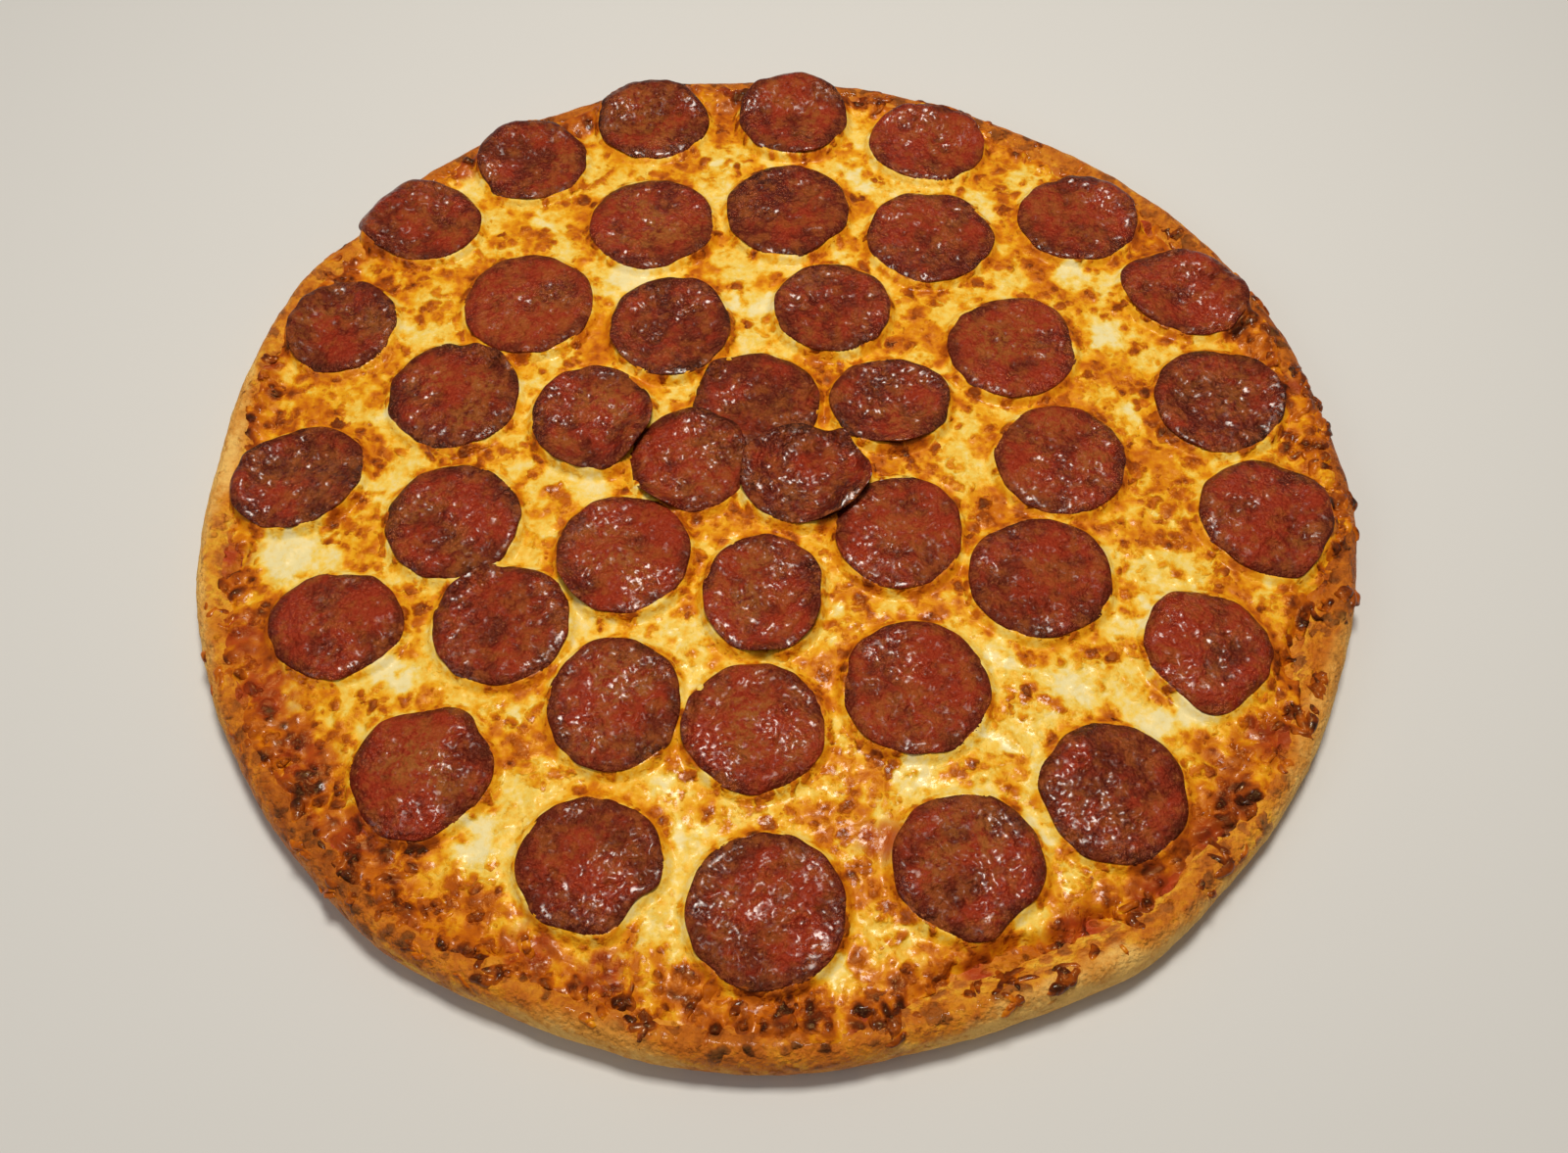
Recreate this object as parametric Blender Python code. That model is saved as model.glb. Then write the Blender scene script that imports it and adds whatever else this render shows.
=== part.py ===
"""A fourteen-inch pepperoni pizza, baked and uncut, in metres with +Z up.

The origin is the middle of the underside, and +Y points away from the eater. The pizza is a stack,
laid from the bottom up: the crust with its low rim, a skin of tomato sauce, the melted cheese, and
the slices of pepperoni, which drape over what lies under them. Crisp shreds of cheese that fell on
the rim are baked onto the crust.
"""

import math
import random

import bpy
from mathutils import Matrix, Vector, noise
from mathutils.bvhtree import BVHTree

MM = 0.001

# The stack, from the underside up.
RIM_REACH = 180 * MM
RIM_HEIGHT = 14.0 * MM
RIM_WAIST = 6.0 * MM
CROWN_INSET = 5.5 * MM
SLOPE_INSET = 18.0 * MM
FOOT_INSET = 7.0 * MM
BED_HEIGHT = 7.6 * MM
GAP = 0.3 * MM
SAUCE_THICKNESS = 0.9 * MM
CHEESE_THICKNESS = 3.0 * MM
CHEESE_EDGE = 0.8 * MM

# Where the round outlines swell or draw in: (bearing in degrees, push in mm, spread in degrees).
RIM_BUMPS = (
    (106, 3.5, 5), (122, 3.2, 8), (135, 2.8, 6), (143, -1.8, 5), (153, 2.8, 8), (178, -2.0, 10),
    (65, -2.4, 20), (285, -2.0, 8), (304, 2.0, 5), (233, 1.5, 6), (250, -1.2, 7), (355, 1.5, 9),
)
RIM_SWELLS = (
    (20, 0.9, 14), (58, -0.8, 10), (100, 0.7, 14), (140, -0.6, 9), (170, 0.8, 12), (205, -0.7, 12),
    (240, 0.6, 9), (268, -0.5, 8), (296, 1.1, 12), (320, -0.6, 7), (338, 1.2, 10),
)
CHEESE_INSET = 5.0 * MM
CHEESE_BAYS = (
    (340, 9, 8), (298, 9, 8), (286, 8, 5), (314, 3, 5), (262, 4, 4), (250, 4, 5), (184, 4, 14),
    (155, 2.5, 8), (48, 4, 13), (32, 4, 7), (225, 1.5, 8), (10, -1, 10), (120, -1, 14),
)
SAUCE_TONGUE = 0.8 * MM
SAUCE_TONGUES = ((340, 3, 6), (294, 2.5, 7), (184, 2, 9), (50, 1.5, 9), (252, 1.5, 6))

# How finely the round layers are cut.
BEARINGS = 64
SLOPE_RINGS = 3
BED_RINGS = 11
SIDE_STEPS = 4
CROWN_STEPS = 3

# The cheese swells between the slices and is pressed flat under them.
MOUND_HEIGHT = 1.5 * MM
MOUND_SIZE = 17 * MM
PRESSED_WITHIN = 1.10
FREE_BEYOND = 1.35

# A slice of pepperoni.
SLICE_CORNERS = 16
SLICE_TOP_RINGS = (0.48, 0.82)
SLICE_UNDER_RINGS = (0.62,)
SLICE_THICKNESS = 1.8 * MM
SLICE_EDGE = 1.2 * MM
DRAPE_REACH = 3.6 * MM
DRAPE_PROBES = 8
SETTLE_PARTS = 5
SETTLE_ROUNDS = 6

# Crisp shreds on the rim, as sectors: (first bearing, last bearing, how many).
SHRED_SECTORS = (
    (282, 306, 10), (322, 350, 7), (352, 368, 7), (10, 36, 6), (36, 58, 3), (240, 280, 5),
    (205, 235, 3), (158, 196, 3),
)
SHRED_SEED = 11
SHRED_LENGTH = (4.5 * MM, 8.5 * MM)
SHRED_GIRTH = (1.0 * MM, 1.4 * MM)
SHRED_SIDES = 5
SHRED_STATIONS = (0.0, 0.5, 1.0)
SHRED_SHOULDER = 2.4 * MM
SHRED_CLEARANCE = 0.9 * MM


def slice_row(ring, x, y, wide, deep, turn=0, cup=1.6, dome=0.6, corners=(), lifts=()):
    """One slice of pepperoni. Sizes and places are in mm, and wide and deep are half sizes.

    cup is how far the whole edge curls up, and dome how far the middle swells. corners push the
    outline out or in, and lifts raise stretches of the edge: (direction in degrees, mm, spread).
    """
    return {
        "ring": ring, "x": x * MM, "y": y * MM, "wide": wide * MM, "deep": deep * MM,
        "turn": math.radians(turn), "cup": cup * MM, "dome": dome * MM,
        "corners": corners, "lifts": lifts,
    }


# From the lowest of each overlapping pair to the highest.
SLICES = (
    slice_row("outer", -45, 155, 19.5, 17.5, corners=((0, 1.2, 14),), cup=1.0),
    slice_row("outer", 6, 157, 19.5, 17.5, cup=2.2, dome=1.4, corners=((-60, 1, 15), (-120, 1, 15))),
    slice_row("outer", 54, 144, 20.5, 17.2, turn=-8, cup=1.2),
    slice_row("outer", -87, 135, 19, 17.5, corners=((-120, 1.4, 12), (20, 0.8, 14)), cup=1.2),
    slice_row("outer", -123, 106, 20.5, 17, corners=((-125, -1.6, 18), (-150, 1, 10)), cup=1.5),
    slice_row("outer", 105, 108, 20.5, 18.5, cup=1.0, lifts=((100, 1.2, 40),)),
    slice_row("outer", 138, 75, 21, 17, turn=-28, corners=((150, 1.6, 12), (60, -1, 15)), cup=1.0),
    slice_row("outer", -144, 60, 17, 19, turn=-25, cup=1.0, lifts=((60, 1.2, 40),)),
    slice_row("outer", 143, 30, 20.5, 20.5, cup=1.2),
    slice_row("outer", -149, 0, 21, 17.5, turn=38, cup=1.4, lifts=((-45, 1.2, 40),)),
    slice_row("outer", 151, -14, 20, 20.5, dome=2.2, cup=0.8, corners=((-75, 3, 16), (-130, -1.4, 20))),
    slice_row("outer", -130, -52, 20, 17.5, dome=1.6, cup=1.0, corners=((-90, 0.8, 20), (-150, -1, 14))),
    slice_row("outer", 127, -60, 18.5, 19, dome=2.4, cup=0.8,
              corners=((122, 2.6, 12), (-93, 2.6, 14), (5, 0.8, 18), (-140, -1.4, 20))),
    slice_row("outer", -99, -99, 20, 19.5, dome=2.4, cup=0.8,
              corners=((64, 2.4, 12), (-102, 1.8, 16), (105, -0.8, 12), (-45, -1.4, 20))),
    slice_row("outer", -50, -126, 20, 19.5, dome=1.4, cup=1.4, corners=((-42, -3.2, 17), (-75, 1.2, 14))),
    slice_row("outer", -2, -139, 21.5, 21.8, dome=0.8, cup=1.8),
    slice_row("outer", 53, -126, 20.8, 20.8, dome=1.6, cup=1.2, corners=((-48, -2.2, 16), (-85, 0.8, 14))),
    slice_row("outer", 95, -105, 20.3, 21.3, dome=2.0, cup=0.8, corners=((170, 0.8, 14), (-150, -0.8, 14))),
    slice_row("middle", -43, 106, 21.5, 20.5, cup=1.4, corners=((-60, -1.4, 18),)),
    slice_row("middle", 4, 112, 21.3, 21, cup=1.6, dome=1.0, corners=((-45, -1.4, 18),)),
    slice_row("middle", 53, 100, 21.3, 20.5, cup=1.6, corners=((3, 1.4, 10), (90, -0.6, 20))),
    slice_row("middle", 78, 52, 21, 20.8, cup=1.2, corners=((105, -1.6, 16), (55, 0.8, 12))),
    slice_row("middle", -83, 70, 21.7, 21, cup=1.4, dome=1.0),
    slice_row("middle", -104, 32, 21, 20.8, cup=1.0, corners=((118, 1.4, 8), (-60, -0.6, 20))),
    slice_row("middle", -99, -16, 20.6, 20.6, cup=1.4),
    slice_row("middle", 90, 7, 20.6, 20.4, cup=1.2, dome=0.9),
    slice_row("middle", -81, -52, 20.3, 20, cup=1.4, dome=1.0, corners=((42, 1.4, 14), (125, -0.6, 16))),
    slice_row("middle", 80, -36, 21.6, 20.8, cup=1.2, dome=0.9, corners=((38, 1.2, 12), (-60, -0.8, 16))),
    slice_row("middle", -46, -78, 19.2, 21.2, cup=1.6),
    slice_row("middle", -5.5, -85, 20.3, 20, cup=1.2, dome=1.6, corners=((180, 0.8, 12), (-95, 0.8, 16))),
    slice_row("middle", 41, -73, 21.3, 21.6, cup=1.6, dome=1.2, corners=((-95, -1.0, 16),)),
    slice_row("inner", -35, 60, 19.8, 20.6, cup=2.6),
    slice_row("inner", 19, 68, 19.4, 18.8, cup=2.4, dome=1.0),
    slice_row("inner", 37, 29, 19.5, 16.8, cup=2.4, corners=((25, 1.2, 12), (0, -0.8, 10)),
              lifts=((-70, 1.6, 30),)),
    slice_row("inner", 38, -20, 19.4, 20.2, cup=1.8, dome=1.4, corners=((30, 0.8, 12), (-10, -0.8, 8))),
    slice_row("inner", -3.5, -42, 18, 20.3, cup=2.6, corners=((0, -0.8, 16), (28, 0.8, 12)),
              lifts=((-15, 2.2, 35),)),
    slice_row("inner", -46, -28, 20.3, 20.8, cup=2.0, dome=1.0),
    slice_row("inner", -6, 30, 20.4, 19, cup=0.7),
    slice_row("inner", -27, 6.5, 18.8, 19, cup=1.2, dome=0.8),
    slice_row("inner", -58.5, 23, 19.3, 19.5, cup=2.6, corners=((-75, 1.6, 14), (-30, -0.8, 16))),
    slice_row("centre", 9, 0.5, 19.8, 18, cup=2.6, corners=((-8, 1.6, 14),), lifts=((0, 1.0, 40),)),
)

COLOURS = {
    "crust": ((0.66, 0.40, 0.16, 1), 0.75),
    "sauce": ((0.42, 0.06, 0.02, 1), 0.35),
    "cheese": ((0.86, 0.58, 0.15, 1), 0.40),
    "pepperoni": ((0.24, 0.03, 0.015, 1), 0.30),
}


def clear_scene():
    for thing in list(bpy.data.objects):
        bpy.data.objects.remove(thing)


def material(name):
    """A plain Principled material in the food's main colour."""
    colour, roughness = COLOURS[name]
    made = bpy.data.materials.new(name)
    made.use_nodes = True
    shader = made.node_tree.nodes["Principled BSDF"]
    shader.inputs["Base Color"].default_value = colour
    shader.inputs["Roughness"].default_value = roughness
    shader.inputs["Metallic"].default_value = 0.0
    return made


def add_solid(name, points, faces, finish):
    """A named, smooth-shaded object from points and faces that close on themselves."""
    mesh = bpy.data.meshes.new(name)
    mesh.from_pydata(points, [], faces)
    mesh.validate()
    mesh.shade_smooth()
    mesh.set_sharp_from_angle(angle=math.radians(50))
    mesh.materials.append(finish)
    made = bpy.data.objects.new(name, mesh)
    bpy.context.scene.collection.objects.link(made)
    return made


def swell(bearing, bumps):
    """The sum of bell-shaped bumps round a circle, in metres. bearing is in degrees."""
    total = 0.0
    for at, push, spread in bumps:
        apart = (bearing - at + 180) % 360 - 180
        total += push * MM * math.exp(-((apart / spread) ** 2))
    return total


def smooth_step(low, high, value):
    share = min(1.0, max(0.0, (value - low) / (high - low)))
    return share * share * (3 - 2 * share)


def rim_reach(bearing):
    return RIM_REACH + swell(bearing, RIM_BUMPS)


def rim_height(bearing):
    return RIM_HEIGHT + swell(bearing, RIM_SWELLS)


def cheese_inset(bearing):
    return CHEESE_INSET + swell(bearing, CHEESE_BAYS)


def sauce_inset(bearing):
    return cheese_inset(bearing) - SAUCE_TONGUE - swell(bearing, SAUCE_TONGUES)


def crust_top(bearing, inset):
    """Height of the crust's upper side at a distance in from the rim's edge."""
    crown = rim_height(bearing)
    if inset < CROWN_INSET:
        share = 1 - inset / CROWN_INSET
        return RIM_WAIST + (crown - RIM_WAIST) * math.sqrt(max(0.0, 1 - share * share))
    fall = smooth_step(CROWN_INSET, SLOPE_INSET, inset)
    return crown + (BED_HEIGHT - crown) * fall


def at_bearing(bearing, reach, height):
    angle = math.radians(bearing)
    return (reach * math.cos(angle), reach * math.sin(angle), height)


def all_bearings():
    return [360 * step / BEARINGS for step in range(BEARINGS)]


def slope_insets(bearing):
    """Insets of the rings that the crust, sauce and cheese share, so that their facets nest."""
    edge = cheese_inset(bearing)
    steps = [edge + (SLOPE_INSET - edge) * (step + 1) / SLOPE_RINGS for step in range(SLOPE_RINGS)]
    return [sauce_inset(bearing), edge, *steps]


def join_rings(rings, points, outward=0):
    """Bands of triangles between neighbouring rings of point numbers, and their two end caps.

    The first ring is closed by a fan onto the first point, and the last onto the last point. The
    bands before ring number outward slope their diagonals the other way, so that the underside of
    one layer has the same facets as the upper side of the layer below it.
    """
    faces = []
    count = len(rings[0])
    for step in range(count):
        after = (step + 1) % count
        faces.append((0, rings[0][after], rings[0][step]))
        for number, (this, that) in enumerate(zip(rings, rings[1:])):
            if number < outward:
                faces.append((this[step], this[after], that[step]))
                faces.append((this[after], that[after], that[step]))
            else:
                faces.append((this[step], this[after], that[after]))
                faces.append((this[step], that[after], that[step]))
        faces.append((len(points) - 1, rings[-1][step], rings[-1][after]))
    return faces


def turned_solid(name, low_centre, high_centre, ring_points, finish, outward=0):
    """A closed round solid from rings of points, given from the underside outwards and back in."""
    points = [(0.0, 0.0, low_centre)]
    rings = []
    for ring in ring_points:
        rings.append(range(len(points), len(points) + len(ring)))
        points.extend(ring)
    points.append((0.0, 0.0, high_centre))
    return add_solid(name, points, join_rings(rings, points, outward), finish)


def crust_body(finish):
    """The dough: a flat foot, a rounded side, the rim's crown, and a bed for the filling."""
    rings = [[at_bearing(b, rim_reach(b) - FOOT_INSET, 0.0) for b in all_bearings()]]
    for step in range(1, SIDE_STEPS + 1):
        angle = math.pi / 2 * step / SIDE_STEPS
        inset = FOOT_INSET * (1 - math.sin(angle))
        height = RIM_WAIST * (1 - math.cos(angle))
        rings.append([at_bearing(b, rim_reach(b) - inset, height) for b in all_bearings()])
    for step in range(1, CROWN_STEPS + 1):
        share = 1 - math.cos(math.pi / 2 * step / (CROWN_STEPS + 1))
        rings.append(
            [
                at_bearing(
                    b, rim_reach(b) - share * sauce_inset(b), crust_top(b, share * sauce_inset(b))
                )
                for b in all_bearings()
            ]
        )
    rings += layer_rings(lambda b, inset: crust_top(b, inset))
    return turned_solid("crust", 0.0, BED_HEIGHT, rings, finish)


def layer_rings(height, first=0):
    """The shared rings from the sauce's edge to the bed, at height(bearing, inset)."""
    count = SLOPE_RINGS + 2
    return [
        [
            at_bearing(b, rim_reach(b) - slope_insets(b)[k], height(b, slope_insets(b)[k]))
            for b in all_bearings()
        ]
        for k in range(first, count)
    ]


def sauce_body(finish):
    """A skin of tomato sauce over the bed and the inner slope, to a little beyond the cheese."""
    under = layer_rings(lambda b, inset: crust_top(b, inset) + GAP)
    over = layer_rings(lambda b, inset: crust_top(b, inset) + GAP + SAUCE_THICKNESS)
    low = BED_HEIGHT + GAP
    rings = under[::-1] + over
    return turned_solid("sauce", low, low + SAUCE_THICKNESS, rings, finish, len(under) - 1)


def slice_reach(row, direction):
    """How far a slice's outline lies from its centre, in a direction in radians."""
    along = direction - row["turn"]
    across = math.hypot(math.cos(along) / row["wide"], math.sin(along) / row["deep"])
    return 1 / across + swell(math.degrees(direction), row["corners"])


def openness(x, y):
    """0 where a slice presses on the cheese, and 1 in the open between the slices."""
    free = 1.0
    for row in SLICES:
        away = math.hypot(x - row["x"], y - row["y"])
        if away > 2 * row["wide"]:
            continue
        reach = slice_reach(row, math.atan2(y - row["y"], x - row["x"]))
        free = min(free, smooth_step(PRESSED_WITHIN, FREE_BEYOND, away / reach))
    return free


def cheese_top(bearing, inset):
    """Height of the melted cheese: thin at its edge, swollen in mounds where nothing lies on it."""
    reach = rim_reach(bearing) - inset
    x, y, _ = at_bearing(bearing, reach, 0)
    grown = smooth_step(cheese_inset(bearing), SLOPE_INSET, inset)
    thickness = CHEESE_EDGE + (CHEESE_THICKNESS - CHEESE_EDGE) * grown
    mound = noise.fractal(Vector((x, y, 0)) / MOUND_SIZE, 0.9, 2.0, 2)
    lift = MOUND_HEIGHT * (0.5 + mound) * openness(x, y) * grown
    return crust_top(bearing, inset) + SAUCE_THICKNESS + 2 * GAP + thickness + max(0.0, lift)


def cheese_body(finish):
    """The melted cheese, from its edge on the rim's slope in to the middle."""
    under = layer_rings(lambda b, inset: crust_top(b, inset) + SAUCE_THICKNESS + 2 * GAP, first=1)
    over = layer_rings(cheese_top, first=1)
    for step in range(BED_RINGS - 1, 0, -1):
        share = step / BED_RINGS
        ring = []
        for b in all_bearings():
            reach = (rim_reach(b) - SLOPE_INSET) * share
            ring.append(at_bearing(b, reach, cheese_top(b, rim_reach(b) - reach)))
        over.append(ring)
    low = BED_HEIGHT + SAUCE_THICKNESS + 2 * GAP
    rings = under[::-1] + over
    return turned_solid("cheese", low, low + CHEESE_THICKNESS, rings, finish, len(under) - 1)


def tree_of(body):
    corners = [v.co.copy() for v in body.data.vertices]
    return BVHTree.FromPolygons(corners, [tuple(p.vertices) for p in body.data.polygons])


def height_on(trees, x, y):
    """The highest surface straight under a point, or 0 where there is none."""
    above = Vector((x, y, 1.0))
    hits = (tree.ray_cast(above, Vector((0, 0, -1)))[0] for tree in trees)
    return max((hit.z for hit in hits if hit is not None), default=0.0)


def drape_height(trees, x, y):
    """The highest surface under a point and close round it, so that a slice clears what it covers."""
    spots = [(x, y)]
    for step in range(DRAPE_PROBES):
        angle = 2 * math.pi * step / DRAPE_PROBES
        spots.append((x + DRAPE_REACH * math.cos(angle), y + DRAPE_REACH * math.sin(angle)))
    return max(height_on(trees, *spot) for spot in spots)


def settle(points, faces, trees):
    """Lifts the corners of the underside's facets until every facet clears what lies under it."""
    parts = SETTLE_PARTS
    weights = [
        (a / parts, b / parts, (parts - a - b) / parts)
        for a in range(parts + 1)
        for b in range(parts + 1 - a)
    ]
    for _ in range(SETTLE_ROUNDS):
        lifted = False
        for face in faces:
            corners = [points[number] for number in face]
            short = 0.0
            for share in weights:
                x, y, z = (sum(w * c[k] for w, c in zip(share, corners)) for k in range(3))
                short = max(short, height_on(trees, x, y) + GAP - z)
            if short < 0.02 * MM:
                continue
            lifted = True
            for number in face:
                x, y, z = points[number]
                points[number] = (x, y, z + short)
        if not lifted:
            return


def slice_body(name, row, trees, finish):
    """A slice of pepperoni, draped on what lies under it, with its edge curled up."""
    directions = [2 * math.pi * step / SLICE_CORNERS for step in range(SLICE_CORNERS)]

    def place(direction, share):
        away = share * slice_reach(row, direction)
        return row["x"] + away * math.cos(direction), row["y"] + away * math.sin(direction)

    def curl(direction, share):
        return (row["cup"] + swell(math.degrees(direction), row["lifts"])) * share**3

    def under(direction, share):
        x, y = place(direction, share)
        return (x, y, drape_height(trees, x, y) + GAP + curl(direction, share))

    def over(direction, share):
        x, y = place(direction, share)
        thickness = SLICE_EDGE + (SLICE_THICKNESS - SLICE_EDGE) * (1 - share * share)
        swollen = row["dome"] * (1 - share * share)
        return (x, y, drape_height(trees, x, y) + GAP + curl(direction, share) + thickness + swollen)

    shares = [*SLICE_UNDER_RINGS, 1.0]
    rings = [[under(d, share) for d in directions] for share in shares]
    rings += [[over(d, share) for d in directions] for share in [1.0, *SLICE_TOP_RINGS[::-1]]]
    points = [under(0.0, 0.0), *(point for ring in rings for point in ring), over(0.0, 0.0)]
    numbers = [range(1 + k * SLICE_CORNERS, 1 + (k + 1) * SLICE_CORNERS) for k in range(len(rings))]
    faces = join_rings(numbers, points)
    last_under = len(shares) * SLICE_CORNERS
    settle(points, [face for face in faces if max(face) <= last_under], trees)
    return add_solid(name, points, faces, finish)


def near(row, other):
    apart = math.hypot(row["x"] - other["x"], row["y"] - other["y"])
    return apart < row["wide"] + other["wide"] + 4 * DRAPE_REACH


def slice_bodies(layers, finish):
    """Every slice in the order it was laid, each resting on the cheese and on its neighbours."""
    layer_trees = [tree_of(body) for body in layers]
    laid = []
    counts = {}
    for row in SLICES:
        counts[row["ring"]] = counts.get(row["ring"], 0) + 1
        name = f"pepperoni_{row['ring']}_{counts[row['ring']]:02d}"
        trees = layer_trees + [tree for other, tree in laid if near(row, other)]
        laid.append((row, tree_of(slice_body(name, row, trees, finish))))


def shred_places():
    """(bearing, inset, yaw, length, girth) of each crisp shred, drawn sector by sector.

    Where the bare rim is narrow, a shred lies along it. Where it is wide, shreds lie more loosely.
    """
    draw = random.Random(SHRED_SEED)
    places = []
    for first, last, count in SHRED_SECTORS:
        for step in range(count):
            bearing = first + (last - first) * (step + draw.uniform(0.15, 0.85)) / count
            length = draw.uniform(*SHRED_LENGTH)
            girth = draw.uniform(*SHRED_GIRTH)
            farthest = sauce_inset(bearing) - girth - SHRED_CLEARANCE
            room = max(0.0, farthest - SHRED_SHOULDER)
            lean = math.asin(min(0.6, room / length))
            inset = min(SHRED_SHOULDER, farthest) + draw.uniform(0.35, 0.65) * room
            yaw = math.radians(bearing + 90) + draw.uniform(-lean, lean)
            places.append((bearing, inset, yaw, length, girth))
    return places


def shred(place, finish, collection):
    """A bent strand of cheese, half sunk in the crust: a tube that tapers to both ends."""
    bearing, inset, yaw, length, girth = place
    rings = []
    for share in SHRED_STATIONS:
        thick = girth * (0.55 + 0.45 * math.sin(math.pi * share))
        bend = 0.16 * length * math.sin(math.pi * share)
        rings.append(
            [
                (
                    (share - 0.5) * length,
                    bend + thick * math.cos(2 * math.pi * k / SHRED_SIDES),
                    thick * math.sin(2 * math.pi * k / SHRED_SIDES),
                )
                for k in range(SHRED_SIDES)
            ]
        )
    points = [(-0.5 * length - 0.4 * girth, 0, 0), *(p for ring in rings for p in ring)]
    points.append((0.5 * length + 0.4 * girth, 0, 0))
    numbers = [range(1 + k * SHRED_SIDES, 1 + (k + 1) * SHRED_SIDES) for k in range(len(rings))]
    faces = [face[::-1] for face in join_rings(numbers, points)]
    made = add_solid("shred", points, faces, finish)
    reach = rim_reach(bearing) - inset
    made.matrix_world = Matrix.Translation(
        at_bearing(bearing, reach, crust_top(bearing, inset) + 0.15 * girth)
    ) @ Matrix.Rotation(yaw, 4, "Z")
    bpy.context.scene.collection.objects.unlink(made)
    collection.objects.link(made)
    return made


def bake_on_shreds(crust, finish):
    """Joins the crisp shreds to the crust by one Boolean union, and clears them away."""
    pile = bpy.data.collections.new("shreds")
    bpy.context.scene.collection.children.link(pile)
    for place in shred_places():
        shred(place, finish, pile)
    join = crust.modifiers.new("shreds", "BOOLEAN")
    join.operation = "UNION"
    join.operand_type = "COLLECTION"
    join.collection = pile
    join.solver = "EXACT"
    bpy.context.view_layer.update()
    bpy.context.view_layer.objects.active = crust
    bpy.ops.object.modifier_apply(modifier=join.name)
    for thing in list(pile.objects):
        bpy.data.objects.remove(thing)
    bpy.data.collections.remove(pile)


def stand_on_origin():
    """Moves every mesh so that the middle of the pizza's underside is the origin."""
    bodies = [thing for thing in bpy.context.scene.objects if thing.type == "MESH"]
    corners = [v.co for body in bodies for v in body.data.vertices]
    middle = [(min(c[k] for c in corners) + max(c[k] for c in corners)) / 2 for k in (0, 1)]
    for body in bodies:
        body.data.transform(Matrix.Translation((-middle[0], -middle[1], 0)))


def main():
    clear_scene()
    finishes = {name: material(name) for name in COLOURS}
    crust = crust_body(finishes["crust"])
    sauce_body(finishes["sauce"])
    cheese = cheese_body(finishes["cheese"])
    bake_on_shreds(crust, finishes["crust"])
    slice_bodies([crust, cheese], finishes["pepperoni"])
    stand_on_origin()


main()
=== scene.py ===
# %% [markdown]
# # A baked pepperoni pizza
# The pizza is built the way it is made: a crust with a low rim, a skin of tomato sauce, melted
# cheese, crisp shreds of cheese on the border, and forty-one slices of pepperoni. The solids of the
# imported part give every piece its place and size. This script lays finer skins over them, and
# gives each skin the colours of an oven-baked pizza.

import math

import bpy
import numpy as np
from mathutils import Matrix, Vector
from mathutils.bvhtree import BVHTree


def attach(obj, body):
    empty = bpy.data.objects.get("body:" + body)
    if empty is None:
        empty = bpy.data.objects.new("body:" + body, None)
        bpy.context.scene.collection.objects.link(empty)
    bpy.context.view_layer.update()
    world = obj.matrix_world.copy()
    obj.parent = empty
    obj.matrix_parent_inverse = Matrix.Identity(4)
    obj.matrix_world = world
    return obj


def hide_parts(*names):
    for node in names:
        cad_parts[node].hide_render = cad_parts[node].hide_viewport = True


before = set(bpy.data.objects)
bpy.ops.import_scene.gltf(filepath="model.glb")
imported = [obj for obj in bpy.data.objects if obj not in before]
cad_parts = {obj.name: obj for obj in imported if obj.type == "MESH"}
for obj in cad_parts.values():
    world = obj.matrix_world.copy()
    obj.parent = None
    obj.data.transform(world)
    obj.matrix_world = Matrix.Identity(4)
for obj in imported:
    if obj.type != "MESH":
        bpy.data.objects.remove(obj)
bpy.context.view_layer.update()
MM = 0.001
TURN = 2 * math.pi


# %% [markdown]
# Nothing in food is even, so almost every step below needs soft random noise. It could come from a
# texture, but then the shape and the colour could not share it. Here it is a plain numpy function
# of two coordinates: random numbers on a square lattice, joined by smooth steps, and added up at
# smaller and smaller sizes. The lattice is turned between sizes, so that its lines never show.

# %% Soft noise
def smooth_step(low, high, value):
    """0 below low, 1 above high, and 3s^2 - 2s^3 between, where s is the share of the way."""
    share = np.clip((value - low) / (high - low), 0, 1)
    return share * share * (3 - 2 * share)


def clouds(x, y, size, seed, octaves=1):
    """Noise from 0 to 1, in lumps about size wide. An octave adds a finer layer at half weight."""
    table = np.random.default_rng(seed).random((256, 256))
    total, weight, norm = 0.0, 1.0, 0.0
    for octave in range(octaves):
        turn = 0.5 + 1.1 * octave
        u = (x * math.cos(turn) + y * math.sin(turn)) / size * 2**octave + 17.3 * octave
        v = (y * math.cos(turn) - x * math.sin(turn)) / size * 2**octave + 41.7 * octave
        i, j = np.floor(u).astype(int), np.floor(v).astype(int)
        s, t = smooth_step(0, 1, u - i), smooth_step(0, 1, v - j)
        near = table[i & 255, j & 255] * (1 - t) + table[i & 255, (j + 1) & 255] * t
        far = table[(i + 1) & 255, j & 255] * (1 - t) + table[(i + 1) & 255, (j + 1) & 255] * t
        total = total + weight * (near * (1 - s) + far * s)
        norm += weight
        weight *= 0.5
    return total / norm


def sway(x, y, size, seed, octaves=1):
    """The same noise from -0.5 to 0.5, so that it takes away as often as it adds."""
    return clouds(x, y, size, seed, octaves) - 0.5


def ridges(x, y, size, seed, octaves=2):
    """Noise from 0 to 1 with sharp crests: one minus twice the distance of clouds from a half."""
    return 1 - np.abs(2 * clouds(x, y, size, seed, octaves) - 1)


anywhere = np.random.default_rng(0).random((2, 999))
print("mean of the noise:", round(float(clouds(*anywhere, 10 * MM, 1, 3).mean()), 2))

# %% [markdown]
# The round pieces need to know how far they reach at each bearing. A ring of corners on a solid
# gives that at a few dozen bearings only. A sum of waves fitted to those corners is a smooth closed
# curve through them, which is what a hand-stretched rim looks like.

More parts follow.
